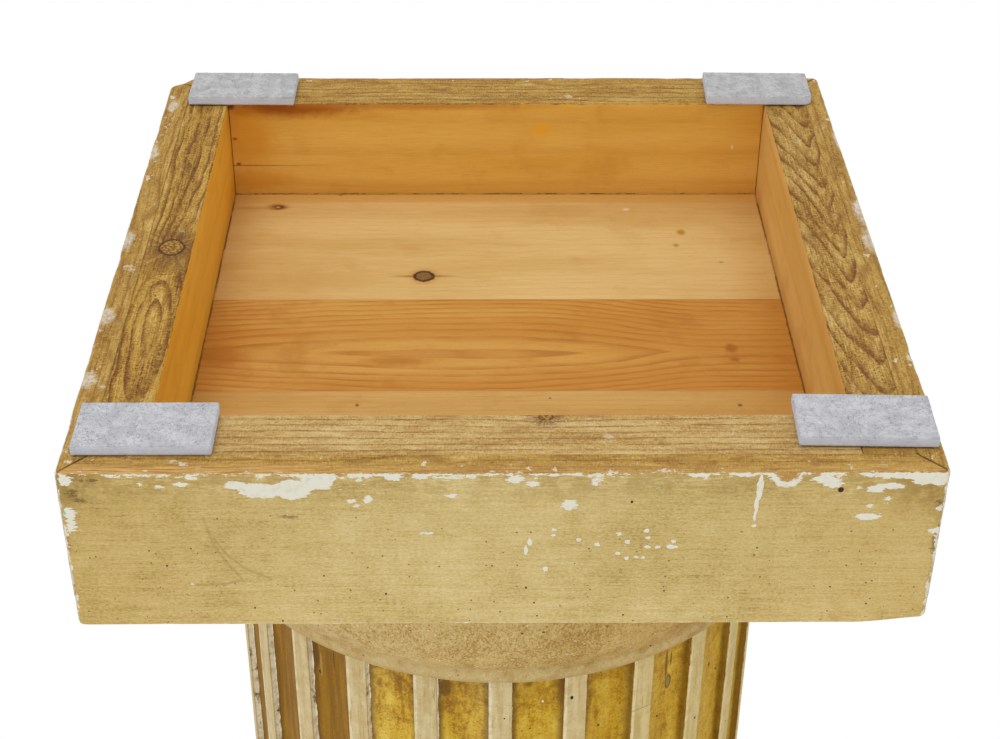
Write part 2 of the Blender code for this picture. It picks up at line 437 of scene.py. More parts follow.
# Distance in metres from a straight scratch on the front facing, its ends given in the photograph
def scratchField(f, vector, start, end):
    a = fromPhoto(*start, 1, -plinthHalf)
    b = fromPhoto(*end, 1, -plinthHalf)
    run = Vector((b.x - a.x, 0, b.z - a.z))
    away = f.vector("MULTIPLY_ADD", vector, (1, 0, 1), (-a.x, 0, -a.z))
    dot = f.vector("DOT_PRODUCT", away, tuple(run / run.length_squared), output="Value")
    along = f.span(dot, 0.0, 1.0, smooth=False)
    return f.vector("LENGTH", f.vector("SUBTRACT", away, f.scaled(tuple(run), along)), output="Value")


# Weathered end of a board at the rim: dark raised grain, yellow mottling and cross scratches
def rimWood(f, along, across, vector, look):
    grain = look["rimGrain"]
    jitter = f.noise(vector, 420.0, 3.0, 0.6) * 0.0009 + across
    zones = f.flat(along, across, 0.045, 0.009, look["seed"], 4.0, 0.6)
    fibres = f.flat(along, jitter, 0.011, 0.0007, 0.0, 4.0, 0.7)
    hatch = f.flat(along, across, 0.0006, 0.003, 0.0, 4.0, 0.7)
    fine = f.noise(vector, 900.0, 3.0, 0.75)
    hatchShare = look.get("hatch", 0.55)
    tone = zones * 0.6 + fibres * 0.65 + hatch * hatchShare + fine * 0.6
    middle = (0.6 + 0.65 + hatchShare + 0.6) / 2
    reach = 0.275 / look.get("contrast", 1.0)
    stops = ((0.0, look["rimDark"]), (0.34, look["rimBrown"]), (0.60, look["rimYellow"]),
             (1.0, look["rimPale"]))
    colour = f.ramp(f.span(tone, middle - reach, middle + reach, smooth=False), stops)
    rings = pineRings(f, along, jitter, grain)
    broken = f.span(hatch, 0.52, 0.7, 1.0, 0.6) * f.span(fine, 0.48, 0.66, 1.0, 0.65)
    patchy = f.span(f.flat(along, across, 0.03, 0.01, 3.0, 3.0, 0.6), 0.34, 0.56, 0.45, 1.0)
    rings = rings * (broken * patchy) * grain["strength"]
    colour = f.mix(rings, colour, look["rimRing"])
    nicks = f.span(hatch, 0.6, 0.7, 0.0, 0.75) * f.span(zones, 0.4, 0.6, 0.3, 1.0)
    colour = f.mix(nicks, colour, look["rimPale"])
    stains = f.flat(along, across, 0.016, 0.007, 8.0, 5.0, 0.68, 0.6)
    stains = (fine - 0.5) * 0.5 + stains
    colour = f.over(colour, look["rimStain"], stains, 0.52, 0.68, look.get("stained", 0.6))
    golden = f.span(f.noise(vector, 120.0, 4.0, 0.7), 0.54, 0.66, 0.0, 0.55)
    colour = f.mix(golden, colour, look["rimYellow"])
    pores = f.flat(along, jitter, 0.003, 0.0005, 4.0, 2.0, 0.6)
    colour = f.over(colour, (0.13, 0.06, 0.015), pores, 0.36, 0.26, 0.75)
    for (kx, ky), radius in grain.get("knots", ()):
        dx = (along - kx) * 0.85
        dy = across - ky
        away = f.hypot(dx, dy)
        outward = f.vector("NORMALIZE", f.join(dx, dy, 0.0))
        rays = f.noise(f.vector("MULTIPLY_ADD", outward, (7.0, 7.0, 0.0), f.join(0.0, 0.0, away * 90.0)),
                       1.0, 4.0, 0.7)
        away = (f.noise(vector, 300.0, 3.0) - 0.5) * (radius * 0.4) + away
        halo = f.span(away, radius, radius * 4.2, 1.0, 0.0) * f.span(rays, 0.38, 0.6, 0.15, 0.9)
        colour = f.mix(halo, colour, (0.160, 0.066, 0.022))
        inside = f.over((0.2, 0.085, 0.018), (0.43, 0.25, 0.062), f.noise(vector, 700.0, 3.0), 0.4, 0.6)
        colour = f.over(colour, inside, away, radius * 1.05, radius * 0.9)
        edge = 1.0 - f.span(abs(away - radius), 0.0, radius * 0.2)
        colour = f.mix(edge, colour, (0.085, 0.03, 0.010))
    smears = f.span(f.noise(vector, 62.0, 5.0, 0.66), 0.655, 0.70, 0.0, look.get("smears", 0.6))
    colour = f.mix(smears, colour, (0.640, 0.570, 0.430))
    return colour, fine * 0.5 + (hatch * 0.6 + fibres * 0.7)


# Clean planed pine inside the plinth
def planedPine(f, along, across, vector, look):
    grain = look["grain"]
    tint = f.flat(along, across, 1 / 5, 1 / 34, look["seed"], 4.0)
    colour = f.over(look["dark"], look["light"], tint, 0.34, 0.66)
    varied = f.span(f.noise(vector, 26.0, 3.0), 0.36, 0.60, 0.45, 1.0)
    rings = pineRings(f, along, across, grain) * varied * grain["strength"]
    colour = f.mix(rings, colour, look["late"])
    fibres = f.flat(along, across, 0.018, 0.0006, 0.0, 4.0, 0.75)
    colour = f.over(colour, look["late"], fibres, 0.46, 0.68, look.get("fibres", 0.25))
    colour = f.over(colour, look["pale"], fibres, 0.5, 0.3, 0.22)
    specks = f.noise(vector, 700.0, 3.0, 0.75)
    colour = f.over(colour, look["late"], specks, 0.56, 0.72, 0.25)
    blotches = f.noise(f.vector("ADD", vector, (0.0, 0.0, look["seed"])), 42.0, 4.0, 0.6)
    colour = f.over(colour, look["late"], blotches, 0.52, 0.72, look.get("blotched", 0.25))
    return colour, fibres


facingLook = {
    "paintLight": (0.690, 0.550, 0.275),
    "paintMid": (0.605, 0.460, 0.188),
    "paintDark": (0.520, 0.375, 0.128),
    "paintGrime": (0.350, 0.225, 0.058),
    "ground": (0.735, 0.705, 0.590),  # the white ground under the paint
    "streaks": (0.045, 0.020, 0.0016),
    "brushed": (0.0085, 0.0060, 0.00065),
    "rimDark": (0.200, 0.090, 0.018),
    "rimBrown": (0.385, 0.215, 0.052),
    "rimYellow": (0.480, 0.295, 0.066),
    "rimPale": (0.640, 0.450, 0.165),
    "rimRing": (0.225, 0.090, 0.020),
    "contrast": 1.3,
    "stained": 0.8,
    "rimStain": (0.290, 0.140, 0.036),
    "rimGrain": {"spacing": 0.0050, "warp": 0.018, "strength": 0.70},
    "seed": 21.0,
    "whitened": (  # places on the rim in the photograph, and reach across and along the side boards
        ((861, 212), (0.0035, 0.014)), ((871, 240), (0.0040, 0.012)), ((152, 152), (0.0035, 0.010)),
        ((104, 316), (0.0045, 0.007)), ((88, 378), (0.0040, 0.006)), ((174, 105), (0.0030, 0.007)),
        ((128, 240), (0.0030, 0.010)), ((899, 318), (0.0030, 0.008)), ((838, 140), (0.0025, 0.010)),
    ),
    "chips": (  # boxes in the photograph, left, top, right, bottom
        (224, 482, 250, 490), (238, 484, 285, 498), (270, 481, 312, 499), (300, 476, 334, 490),
        (316, 473, 336, 482), (296, 474, 312, 479), (342, 465, 370, 469), (362, 467, 390, 474),
        (384, 468, 402, 481), (396, 469, 425, 473), (410, 474, 430, 480), (466, 475, 478, 479),
        (506, 476, 524, 483), (527, 481, 540, 487), (548, 470, 562, 477), (556, 467, 566, 471),
        (563, 500, 577, 510), (602, 471, 619, 475), (592, 479, 599, 486), (446, 494, 458, 498),
        (363, 496, 373, 503), (346, 500, 356, 503), (354, 505, 359, 508), (419, 532, 434, 535),
        (732, 468, 765, 477), (752, 463, 782, 475), (776, 472, 800, 487), (770, 470, 784, 482),
        (813, 476, 836, 483), (826, 480, 842, 488), (834, 468, 856, 472), (861, 469, 890, 477),
        (880, 471, 906, 479), (868, 486, 884, 493), (878, 483, 904, 489), (856, 486, 862, 489),
        (905, 473, 938, 480), (915, 478, 932, 485), (930, 475, 950, 485), (884, 497, 892, 501),
        (866, 504, 873, 508), (856, 513, 879, 520), (930, 528, 944, 534), (937, 506, 945, 511),
        (137, 483, 144, 486), (156, 485, 163, 489), (173, 482, 187, 487), (56, 476, 72, 486),
        (55, 472, 64, 478), (61, 508, 76, 520), (64, 516, 77, 531), (186, 477, 197, 480),
        (300, 626, 330, 628), (352, 626, 370, 628), (392, 626, 403, 628), (418, 626, 436, 628),
        (462, 622, 470, 628),
    ),
    "spatters": (  # small marks with plain edges: boxes too
        (758, 474, 762.5, 502), (755, 496, 758, 514), (753.5, 511, 755.5, 521), (751, 524, 756, 527),
        (552, 529, 556, 532), (551, 534, 556, 537), (576, 538, 581, 542), (594, 543, 600, 547),
        (616, 532, 621, 536), (625, 540, 630, 544), (644, 529, 650, 533), (645, 536, 651, 539),
        (644, 545, 651, 549), (654, 546, 661, 549), (666, 545, 679, 549), (671, 540, 676, 543),
        (616, 552, 621, 555), (624, 556, 629, 560), (634, 556, 639, 559), (641, 556, 645, 559),
        (527, 538, 532, 546), (524, 545, 528, 555), (542, 567, 549, 571), (190, 584, 196, 586),
    ),
    "wornToWood": ((779, 463, 798, 482),),
    "greenSpeck": ((61, 511, 66, 516),),
    "dirt": ((65, 489, 80, 498), (72, 498, 86, 503), (78, 479, 100, 482), (163, 622, 172, 629),
             (279, 516, 297, 519),
             (64, 534, 72, 552), (936, 520, 947, 560), (935, 500, 944, 508)),
    "holes": (  # place in the photograph and radius in its pixels
        (217, 519, 0.8), (149, 551, 0.8), (167, 566, 1.1), (191, 549, 0.8), (324, 576, 0.9), (386, 594, 1.1),
        (255, 608, 1.0), (283, 621, 1.0), (526, 588, 1.1), (632, 502, 1.3), (841, 490, 2.6), (318, 601, 0.7),
        (314, 613, 0.7), (321, 614, 0.7), (356, 518, 0.7), (235, 584, 0.6), (151, 563, 0.7), (90, 558, 0.8),
        (534, 603, 0.9), (537, 616, 0.8), (560, 606, 0.7), (589, 549, 0.7), (590, 590, 0.7), (623, 615, 0.9),
        (757, 548, 0.8), (669, 561, 0.7), (664, 591, 0.8), (728, 598, 0.7), (727, 617, 0.7), (760, 577, 0.6),
        (872, 581, 0.7), (866, 583, 0.7), (866, 604, 0.8), (827, 611, 0.6), (830, 587, 0.8), (388, 530, 0.6),
        (492, 566, 0.8), (494, 602, 0.7), (500, 612, 0.7), (403, 608, 0.6), (350, 598, 0.6), (270, 516, 0.6),
    ),
    "scratches": (
        ((203, 518), (212, 541)), ((212, 541), (225, 561)), ((225, 561), (243, 580)),
        ((213, 538), (226, 554)), ((226, 554), (245, 569)), ((245, 569), (271, 579)),
        ((195, 585), (226, 584)), ((226, 584), (243, 580)), ((277, 517), (297, 518)),
    ),
}


def facingFinish(name, look, detailed):
    f = Finish(name)
    board = f.attribute("board", "Vector")
    side = f.attribute("side")
    shifted = f.vector("ADD", board, f.scaled((0.73, 0.31, 0.17), side))
    along, across, z = f.split(board)
    height = z - rimZ
    colour, relief = agedPaint(f, shifted, look)
    ragged = f.noise(shifted, 130.0, 4.0, 0.65)
    jagged = f.stretched(shifted, (0.0065, 0.0065, 0.0011), 4.0, 0.65)
    fineRagged = f.noise(shifted, 620.0, 3.0, 0.6)
    endDistance = plinthHalf - abs(along)
    # Painted shade: the face darkens towards the board's ends, leaving its middle lighter
    paintedShadeToEnds = f.span(endDistance, 0.130, 0.0, 0.0, 0.65)
    colour = f.mix(paintedShadeToEnds, colour, (0.88, 0.80, 0.60), "MULTIPLY")
    pale = f.span(height, 0.030, 0.078, 0.0, 0.40)
    colour = f.mix(pale, colour, (1.12, 1.14, 1.22), "MULTIPLY")
    grime = f.span(height, 0.021, 0.004) * f.span(ragged + jagged, 0.9, 1.12)
    colour = f.mix(grime * 0.5, colour, look["paintGrime"])
    corner = f.span(endDistance, 0.03, 0.004) * f.span(height, 0.03, 0.006)
    colour = f.mix(corner * f.span(ragged, 0.4, 0.62, 0.2, 0.85), colour, (0.31, 0.19, 0.045))

    # where the paint is off: along the rim and the corners, and at the chips
    worn = (ragged - 0.5) * 0.014 + height + (jagged - 0.5) * 0.008
    ground = f.span(worn, 0.0014, 0.0012)
    cornerWear = (ragged - 0.5) * 0.012 + endDistance + (fineRagged - 0.5) * 0.006
    ground = f.most(ground, f.span(cornerWear, 0.0009, 0.0007))
    topWear = (jagged - 0.5) * 0.01 + (plinthTop - rimZ - height)
    onFace = across < -plinthHalf + 0.0018
    ground = f.most(ground, f.span(topWear, 0.0004, 0.0001) * onFace)
    if detailed:
        sideways = f.stretched(shifted, (0.0050, 0.0050, 0.0009), 4.0, 0.7, output="Color")
        sideways = f.vector("SUBTRACT", sideways, (0.5, 0.5, 0.5))
        upward = f.noise(shifted, 420.0, 3.0, 0.65, output="Color")
        upward = f.vector("SUBTRACT", upward, (0.5, 0.5, 0.5))
        moved = f.vector("MULTIPLY_ADD", sideways, (0.0090, 0.0, 0.0008), board)
        moved = f.vector("MULTIPLY_ADD", upward, (0.0034, 0.0, 0.0030), moved)
        shaken = f.vector("MULTIPLY_ADD", upward, (0.0020, 0.0, 0.0030), board)
        chips = frontOvals(f, moved, look["chips"])
        chips = f.least(chips, frontOvals(f, shaken, look["spatters"]) * 1.15)
        dirtyEdge = f.span(chips, 1.3, 1.04, 0.0, 0.45) * ragged
        colour = f.mix(dirtyEdge, colour, look["paintGrime"])
        ground = f.most(ground, f.span(chips, 1.05, 1.0))
        dirt = frontOvals(f, moved, look["dirt"])
        dirt = f.span(dirt, 1.25, 0.8, 0.0, 0.8) * f.span(fineRagged, 0.42, 0.54, 0.15, 1.0)
        colour = f.mix(dirt, colour, (0.165, 0.095, 0.022))
    else:
        loose = jagged * 0.45 + f.noise(shifted, 60.0, 5.0, 0.62)
        close = f.span(height, 0.032, 0.0, 0.0, 0.13, smooth=False)
        ground = f.most(ground, f.span(loose + close, 0.905, 0.915))
    flecks = f.span(height, 0.035, 0.0, 0.0, 0.05, smooth=False) + jagged
    flecks = f.span(flecks, 0.735, 0.745) * f.span(fineRagged, 0.45, 0.5)
    ground = f.most(ground, flecks)
    colour = f.mix(ground, colour, look["ground"])
    stain = f.span(f.noise(shifted, 340.0, 3.0), 0.5, 0.75, 0.0, 0.5)
    colour = f.mix(ground * stain, colour, (0.58, 0.5, 0.33))
    bare = f.span((fineRagged - 0.5) * 0.0016 + height, 0.0009, 0.0006)
    if detailed:
        torn = frontOvals(f, moved, look["wornToWood"])
        bare = f.most(bare, f.span(torn, 1.04, 0.96))
        hairline = None
        for start, end in look["scratches"]:
            away = scratchField(f, board, start, end)
            hairline = away if hairline is None else f.least(hairline, away)
        hairline = f.noise(shifted, 500.0, 2.0) * 0.0007 + hairline
        hairline = f.span(hairline, 0.0003, 0.0014, 0.6, 0.0)
        colour = f.mix(hairline, colour, (0.36, 0.250, 0.075))
        green = frontOvals(f, board, look["greenSpeck"])
        colour = f.over(colour, (0.1, 0.42, 0.32), green, 1.1, 0.7, 0.7)
    woodColour, woodRelief = rimWood(f, along, across, shifted, look)
    outer = across + plinthHalf
    fresh = f.span(ragged * 0.008 + outer, 0.013, 0.0065, 0.0, 0.8)
    fresh = fresh * (side < 0.5) * f.span(along, 0.02, 0.12, 0.45, 1.0)
    reddish = f.stretched(shifted, (0.016, 0.0006, 0.0006), 5.0, 0.72)
    freshTone = f.over((0.68, 0.45, 0.17), (0.52, 0.275, 0.07), reddish, 0.42, 0.54)
    freshTone = f.over(freshTone, (0.34, 0.125, 0.035), reddish, 0.54, 0.62, 0.9)
    woodColour = f.mix(fresh, woodColour, freshTone)
    residue = f.span(outer * -12.0 + (ragged + jagged), 1.13, 1.17, 0.0, 0.85)
    woodColour = f.mix(residue, woodColour, (0.70, 0.60, 0.47))
    spots = [(fromPhoto(*spot, 2, rimZ).xy, reach) for spot, reach in look["whitened"]]
    whitened = ovalField(f, f.place(), spots, (0, 1))
    whitened = (ragged - 0.5) * 2.2 + whitened
    whitened = f.span(whitened, 1.2, 0.5, 0.0, 0.8) * f.span(fineRagged, 0.6, 0.44, 0.45, 1.0)
    woodColour = f.mix(whitened, woodColour, (0.680, 0.620, 0.500))
    colour = f.mix(bare, colour, woodColour)
    mitre = f.span(abs(across) - abs(along), 0.0011, 0.0004) * bare
    colour = f.mix(mitre * 0.75, colour, (0.12, 0.05, 0.015))

    holes = wormHoles(f, along, height, 0.0062, 0.00028, 0.30)
    lower = onFace * f.span(height, 0.012, 0.05, 0.15, 1.0)
    holes = holes * (lower > f.noise(shifted, 45.0, 2.0))
    colour = f.mix(holes * 0.85, colour, (0.1, 0.055, 0.018))
    if detailed:
        boxes = [(x - r, y - r, x + r, y + r) for x, y, r in look["holes"]]
        colour = f.over(colour, (0.045, 0.022, 0.008), frontOvals(f, board, boxes), 1.15, 0.85)
    relief = f.mix(height < 0.0008, relief, woodRelief * 1.5)
    normal = f.bump(relief, 0.00025, 0.85)
    roughness = bare * 0.2 + (ground * 0.12 + 0.55)
    return f.finish(colour, roughness, normal, Specular_IOR_Level=0.14)


# Inner boards: weathered at the rim, planed pine inside, painted where they show above the plinth
def innerFinish(name, look):
    f = Finish(name)
    board = f.attribute("board", "Vector")
    shifted = f.vector("ADD", board, (look["seed"], look["seed"] * 2, 0.3))
    along, across, z = f.split(board)
    height = z - rimZ
    rim, rimRelief = rimWood(f, along, across, shifted, look)
    joint = f.span(f.noise(board, 90.0) * 0.0012 + (across + facingInner), 0.0016, 0.0004, 0.0, 0.8)
    nearEnd = f.span(abs(along), facingInner - 0.022, facingInner - 0.01, 0.0, 0.8)
    rim = f.mix(nearEnd, rim, f.over(look["rimBrown"], look["rimYellow"], rimRelief, 0.75, 1.1))
    joint = joint * look.get("joint", 1.0)
    if "jointFrom" in look:
        joint = joint * f.span(along, look["jointFrom"] - 0.02, look["jointFrom"] + 0.01, 0.25, 1.0)
    rim = f.mix(joint, rim, (0.13, 0.06, 0.018))
    wall, wallRelief = planedPine(f, along, height, shifted, look)
    ragged = f.noise(shifted, 260.0, 4.0, 0.6)
    for (px, py), radii, colourHere, strength in look.get("spots", ()):
        at = fromPhoto(px, py, 1, look["wallY"])
        away = ovalField(f, board, [((-at.x, at.z), radii)])
        away = (ragged - 0.5) * 0.5 + away
        wall = f.over(wall, colourHere, away, 1.2, 0.3, strength)
    if "crack" in look:
        start, end = (fromPhoto(*point, 1, look["wallY"]) for point in look["crack"])
        off = abs(z - (start.z + end.z) / 2)
        off = f.noise(board, 60.0) * 0.0006 + off
        near = f.span(along - -start.x, 0.0, start.x - end.x, 0.9, 0.0)
        wall = f.mix(near * f.span(off, 0.0003, 0.0009, 0.8, 0.0), wall, (0.17, 0.065, 0.012))
    seam = (ragged - 0.5) * 0.0016 + (panelZ - rimZ - height)
    # Painted shade: the wall darkens over its last 12 mm towards the panel, in the inner corner
    wall = f.over(wall, look["late"], seam, 0.012, 0.0, 0.35)
    broken = f.span(f.noise(board, 110.0, 4.0, 0.7), 0.44, 0.58, 0.1, 0.8)
    wall = f.mix(f.span(seam, 0.0006, 0.0001) * broken, wall, (0.15, 0.065, 0.012))
    bareRim = f.span((ragged - 0.5) * 0.0036 + height, 0.001, 0.0007)
    colour = f.mix(bareRim, wall, rim)
    paint = agedPaint(f, shifted, facingLook)[0]
    colour = f.mix(z > plinthTop - 0.0011, colour, paint)
    relief = f.mix(height < 0.0008, wallRelief * 0.35, rimRelief * 1.6)
    normal = f.bump(relief, 0.00025, 0.85)
    roughness = bareRim * 0.25 + 0.5
    return f.finish(colour, roughness, normal, Specular_IOR_Level=0.10)


# Rounded path round a board's section: points and outward normals in the Y-Z plane
def sectionPath(corners, radius, step, outward):
    points, normals = [], []
    heading = [Vector(b) - Vector(a) for a, b in zip(corners, corners[1:])]
    for number, run in enumerate(heading):
        direction = run.normalized()
        normal = Vector((-direction.y, direction.x)) * outward
        start = Vector(corners[number]) + direction * (radius if number else 0)
        end = Vector(corners[number + 1]) - direction * (radius if number < len(heading) - 1 else 0)
        count = max(2, round((end - start).length / step) + 1)
        for i in range(count):
            points.append(start.lerp(end, i / (count - 1)))
            normals.append(normal)
        if number < len(heading) - 1:
            after = heading[number + 1].normalized()
            nextNormal = Vector((-after.y, after.x)) * outward
            centre = end - normal * radius
            for i in range(1, 5):
                turn = math.pi / 2 * i / 5
                n = normal * math.cos(turn) + nextNormal * math.sin(turn)
                points.append(centre + n * radius)
                normals.append(n)
    return np.array([tuple(p) for p in points]), np.array([tuple(n) for n in normals])


# Knocked corners of the facings: which end, at which edge, reach along and up the board, and depth
knockedCorners = {
    "front": (-1, plinthTop, 32 * mm, 12 * mm, 3.2 * mm),
    "left": (1, plinthTop, 14 * mm, 12 * mm, 3.2 * mm),
    "right": (1, rimZ, 15 * mm, 12 * mm, 2.6 * mm),
    "back": (-1, rimZ, 15 * mm, 12 * mm, 2.6 * mm),
}


# One plinth board as a closed skin: fine where it shows, one flat face where it is hidden
def plinthBoard(name, side, corners, outward, halfLength, mitred, finish, v):
    turn = sides.index(side) * math.pi / 2
    section, sectionNormals = sectionPath(corners, v["edgeRadius"], v["cell"], outward)
    count = round(2 * halfLength / v["cell"])
    share = np.linspace(-1, 1, count + 1)
    mitreGap = 0.2 * mm
    reach = -section[:, 0] - mitreGap if mitred else np.full(len(section), halfLength)
    x = share[:, None] * reach[None, :]
    flat = np.stack([x, np.broadcast_to(section[:, 0], x.shape), np.broadcast_to(section[:, 1], x.shape)], -1)
    flat = flat.reshape(-1, 3)
    normals = np.zeros_like(flat)
    normals[:, 1:] = np.tile(sectionNormals, (count + 1, 1))
    placed = flat.copy()
    if mitred:  # round the plinth's upright corner
        centre = plinthHalf - v["cornerRadius"]
        depth = plinthHalf + placed[:, 1]
        over = np.abs(placed[:, 0]) - centre
        left = v["cornerRadius"] - depth
        bent = (over > 0) & (left > 1e-5)
        theta = np.clip(over[bent] / left[bent], 0, 1) * math.pi / 4
        placed[bent, 0] = np.sign(placed[bent, 0]) * (centre + left[bent] * np.sin(theta))
        placed[bent, 1] = -(centre + left[bent] * np.cos(theta))
    seed = sides.index(side) * 11 + (3 if mitred else 50)
    grainReach, wearReach = 3.0 * mm, 2.6 * mm
    rimShare = np.clip(1 - (flat[:, 2] - rimZ) / grainReach, 0, 1)
    broad = dents(placed, 0.045, seed, v["unevenness"])
    grain = dents(placed, (0.05, 0.0022, 0.0022), seed + 5, v["grainDepth"]) * rimShare
    move = broad + grain
    if mitred:
        fromFace = plinthHalf + flat[:, 1]
        toEdge = np.hypot(fromFace, flat[:, 2] - rimZ)
        toEnd = np.hypot(fromFace, plinthHalf - np.abs(flat[:, 0]))
        worn = np.clip(layeredLumps(placed, 0.016, seed + 9), 0, 1)
        move += v["wear"] * worn * (np.exp(-toEdge / wearReach) + np.exp(-toEnd / wearReach))
    move[np.isclose(flat[:, 1], corners[0][0])] = 0
    placed = placed - normals * move[:, None]
    if mitred:
        end, edge, reachAlong, reachUp, depth = knockedCorners[side]
        knock = np.clip(1 - (plinthHalf - end * flat[:, 0]) / reachAlong, 0, 1)
        knock = knock * np.clip(1 - np.abs(flat[:, 2] - edge) / reachUp, 0, 1)
        knock = knock * knock * (3 - 2 * knock)
        knock = depth * knock * np.clip((-facingInner - flat[:, 1]) / (plinthHalf - facingInner), 0, 1) ** 0.5
        placed[:, 2] += knock * (1 if edge == rimZ else -1)
        if edge == rimZ:
            placed[:, 0] -= end * knock
            placed[:, 1] += knock
    rows, columns = count + 1, len(section)
    faces = gridQuads(rows, columns) + endCaps(rows, columns)
    faces.append([r * columns for r in range(rows)]
                 + [r * columns + columns - 1 for r in reversed(range(rows))])
    return addPiece(name, turned(placed, turn), faces, [finish],
                    {"board": flat, "side": np.full(len(flat), float(sides.index(side)))})


facingShape = {"cell": 1.5 * mm, "edgeRadius": 2.2 * mm, "cornerRadius": 3.6 * mm,
               "unevenness": 0.25 * mm, "grainDepth": 0.35 * mm, "wear": 1.5 * mm}
frontCell = 1.0 * mm
facingFront = facingFinish("paintedFrontFacing", facingLook, True)
facingPlain = facingFinish("paintedFacing", facingLook, False)
for side in sides:
    corners = ((-facingInner, rimZ), (-plinthHalf, rimZ), (-plinthHalf, plinthTop), (-facingInner, plinthTop))
    shape = dict(facingShape, cell=frontCell) if side == "front" else facingShape
    board = plinthBoard("plinth_face_board_" + side, side, corners, 1, plinthHalf, True,
                        facingFront if side == "front" else facingPlain, shape)
    dress(board, "plinth_paint", "plinth_facing_" + side)
print("Pedestal: facing boards")


innerShape = {"cell": 1.5 * mm, "edgeRadius": 0.9 * mm, "unevenness": 0.2 * mm, "grainDepth": 0.45 * mm}
wallPine = {"light": (0.790, 0.450, 0.085), "dark": (0.700, 0.360, 0.052), "late": (0.520, 0.215, 0.024),
            "pale": (0.840, 0.560, 0.160), "fibres": 0.20, "seed": 1.0,
            "grain": {"spacing": 0.020, "warp": 0.012, "strength": 0.22, "start": 0.62},
            "rimDark": (0.150, 0.060, 0.012), "rimBrown": (0.330, 0.170, 0.036),
            "rimYellow": (0.510, 0.320, 0.086),
            "rimPale": (0.670, 0.500, 0.225), "rimRing": (0.150, 0.052, 0.012),
            "rimStain": (0.215, 0.092, 0.024)}
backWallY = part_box("plinth_inner_back")[0].y
leftKnot = fromPhoto(172, 247, 2, rimZ)
frontKnot = fromPhoto(546, 416, 2, rimZ)
leftFigure = fromPhoto(156, 318, 2, rimZ)
rightPeak = fromPhoto(840, 250, 2, rimZ)
innerLooks = {
    "front": dict(wallPine, seed=2.0, hatch=0.35, joint=0.0, rimDark=(0.240, 0.115, 0.026),
                  rimBrown=(0.440, 0.260, 0.080), rimYellow=(0.590, 0.410, 0.158),
                  rimPale=(0.730, 0.570, 0.305),
                  rimStain=(0.390, 0.210, 0.064), rimRing=(0.220, 0.100, 0.028),
                  rimGrain={"spacing": 0.0042, "warp": 0.006, "strength": 0.8, "start": 0.62,
                            "knots": ((frontKnot.xy, 2.4 * mm),)}),
    "right": dict(wallPine, seed=3.0, light=(0.835, 0.458, 0.047), dark=(0.735, 0.362, 0.028), fibres=0.34,
                  rimYellow=(0.500, 0.290, 0.052), rimPale=(0.640, 0.440, 0.140),
                  rimDark=(0.120, 0.045, 0.009), contrast=1.35,
                  rimGrain={"spacing": 0.0044, "warp": 0.013, "strength": 1.0, "start": 0.40,
                            "figure": ((leftFigure.y, -leftFigure.x), 0.13, 0.20),
                            "fade": (leftKnot.y - 4 * mm, leftKnot.y - 26 * mm),
                            "knots": (((leftKnot.y, -leftKnot.x), 5.8 * mm),)}),
    "back": dict(wallPine, seed=4.0, joint=0.0, wallY=backWallY, hatch=0.40, rimBrown=(0.345, 0.178, 0.036),
                 rimYellow=(0.505, 0.315, 0.080), rimPale=(0.640, 0.455, 0.175),
                 light=(0.830, 0.505, 0.112), dark=(0.745, 0.410, 0.068), fibres=0.26,
                 rimGrain={"spacing": 0.0046, "warp": 0.010, "strength": 0.65, "start": 0.50},
                 spots=(((541, 130), (0.0070, 0.0052), (0.86, 0.42, 0.020), 0.65),
                        ((732, 147), (0.0008, 0.0016), (0.85, 0.72, 0.48), 0.9),
                        ((292, 107), (0.044, 0.0070), (0.38, 0.115, 0.014), 1.0),
                        ((244, 112), (0.007, 0.0030), (0.56, 0.21, 0.016), 0.7),
                        ((250, 140), (0.016, 0.0200), (0.68, 0.29, 0.016), 0.6),
                        ((250, 180), (0.030, 0.0080), (0.66, 0.28, 0.020), 0.6),
                        ((420, 105), (0.075, 0.0036), (0.52, 0.22, 0.040), 0.8),
                        ((235, 139), (0.0016, 0.0010), (0.20, 0.080, 0.012), 0.8),
                        ((239, 164), (0.0016, 0.0010), (0.17, 0.065, 0.010), 0.9),
                        ((231, 107), (0.0020, 0.0018), (0.13, 0.050, 0.010), 0.9)),
                 crack=((238, 165), (345, 166))),
    "left": dict(wallPine, seed=5.0, light=(0.770, 0.495, 0.160), dark=(0.685, 0.400, 0.102), smears=0.3,
                 fibres=0.30,
                 contrast=1.4, jointFrom=-fromPhoto(885, 330, 2, rimZ).y,
                 rimYellow=(0.480, 0.295, 0.070), rimPale=(0.650, 0.460, 0.180),
                 rimRing=(0.175, 0.060, 0.014),
                 rimGrain={"spacing": 0.0060, "warp": 0.020, "strength": 1.0, "start": 0.42,
                           "peak": (rightPeak.x, 0.27)}),
}
for side in sides:
    low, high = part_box("plinth_inner_" + side)
    turn = Matrix.Rotation(-sides.index(side) * math.pi / 2, 3, "Z")
    a, b = turn @ low, turn @ high
    innerY = max(a.y, b.y)
    outerY = -facingInner + 0.02 * mm
    corners = ((outerY, rimZ), (innerY, rimZ), (innerY, plinthTop), (outerY, plinthTop))
    board = plinthBoard("plinth_wall_board_" + side, side, corners, -1, max(a.x, b.x), False,
                        innerFinish("innerBoard" + side.capitalize(), innerLooks[side]), innerShape)
    dress(board, "bare_wood", "plinth_inner_" + side)
print("Pedestal: inner boards")


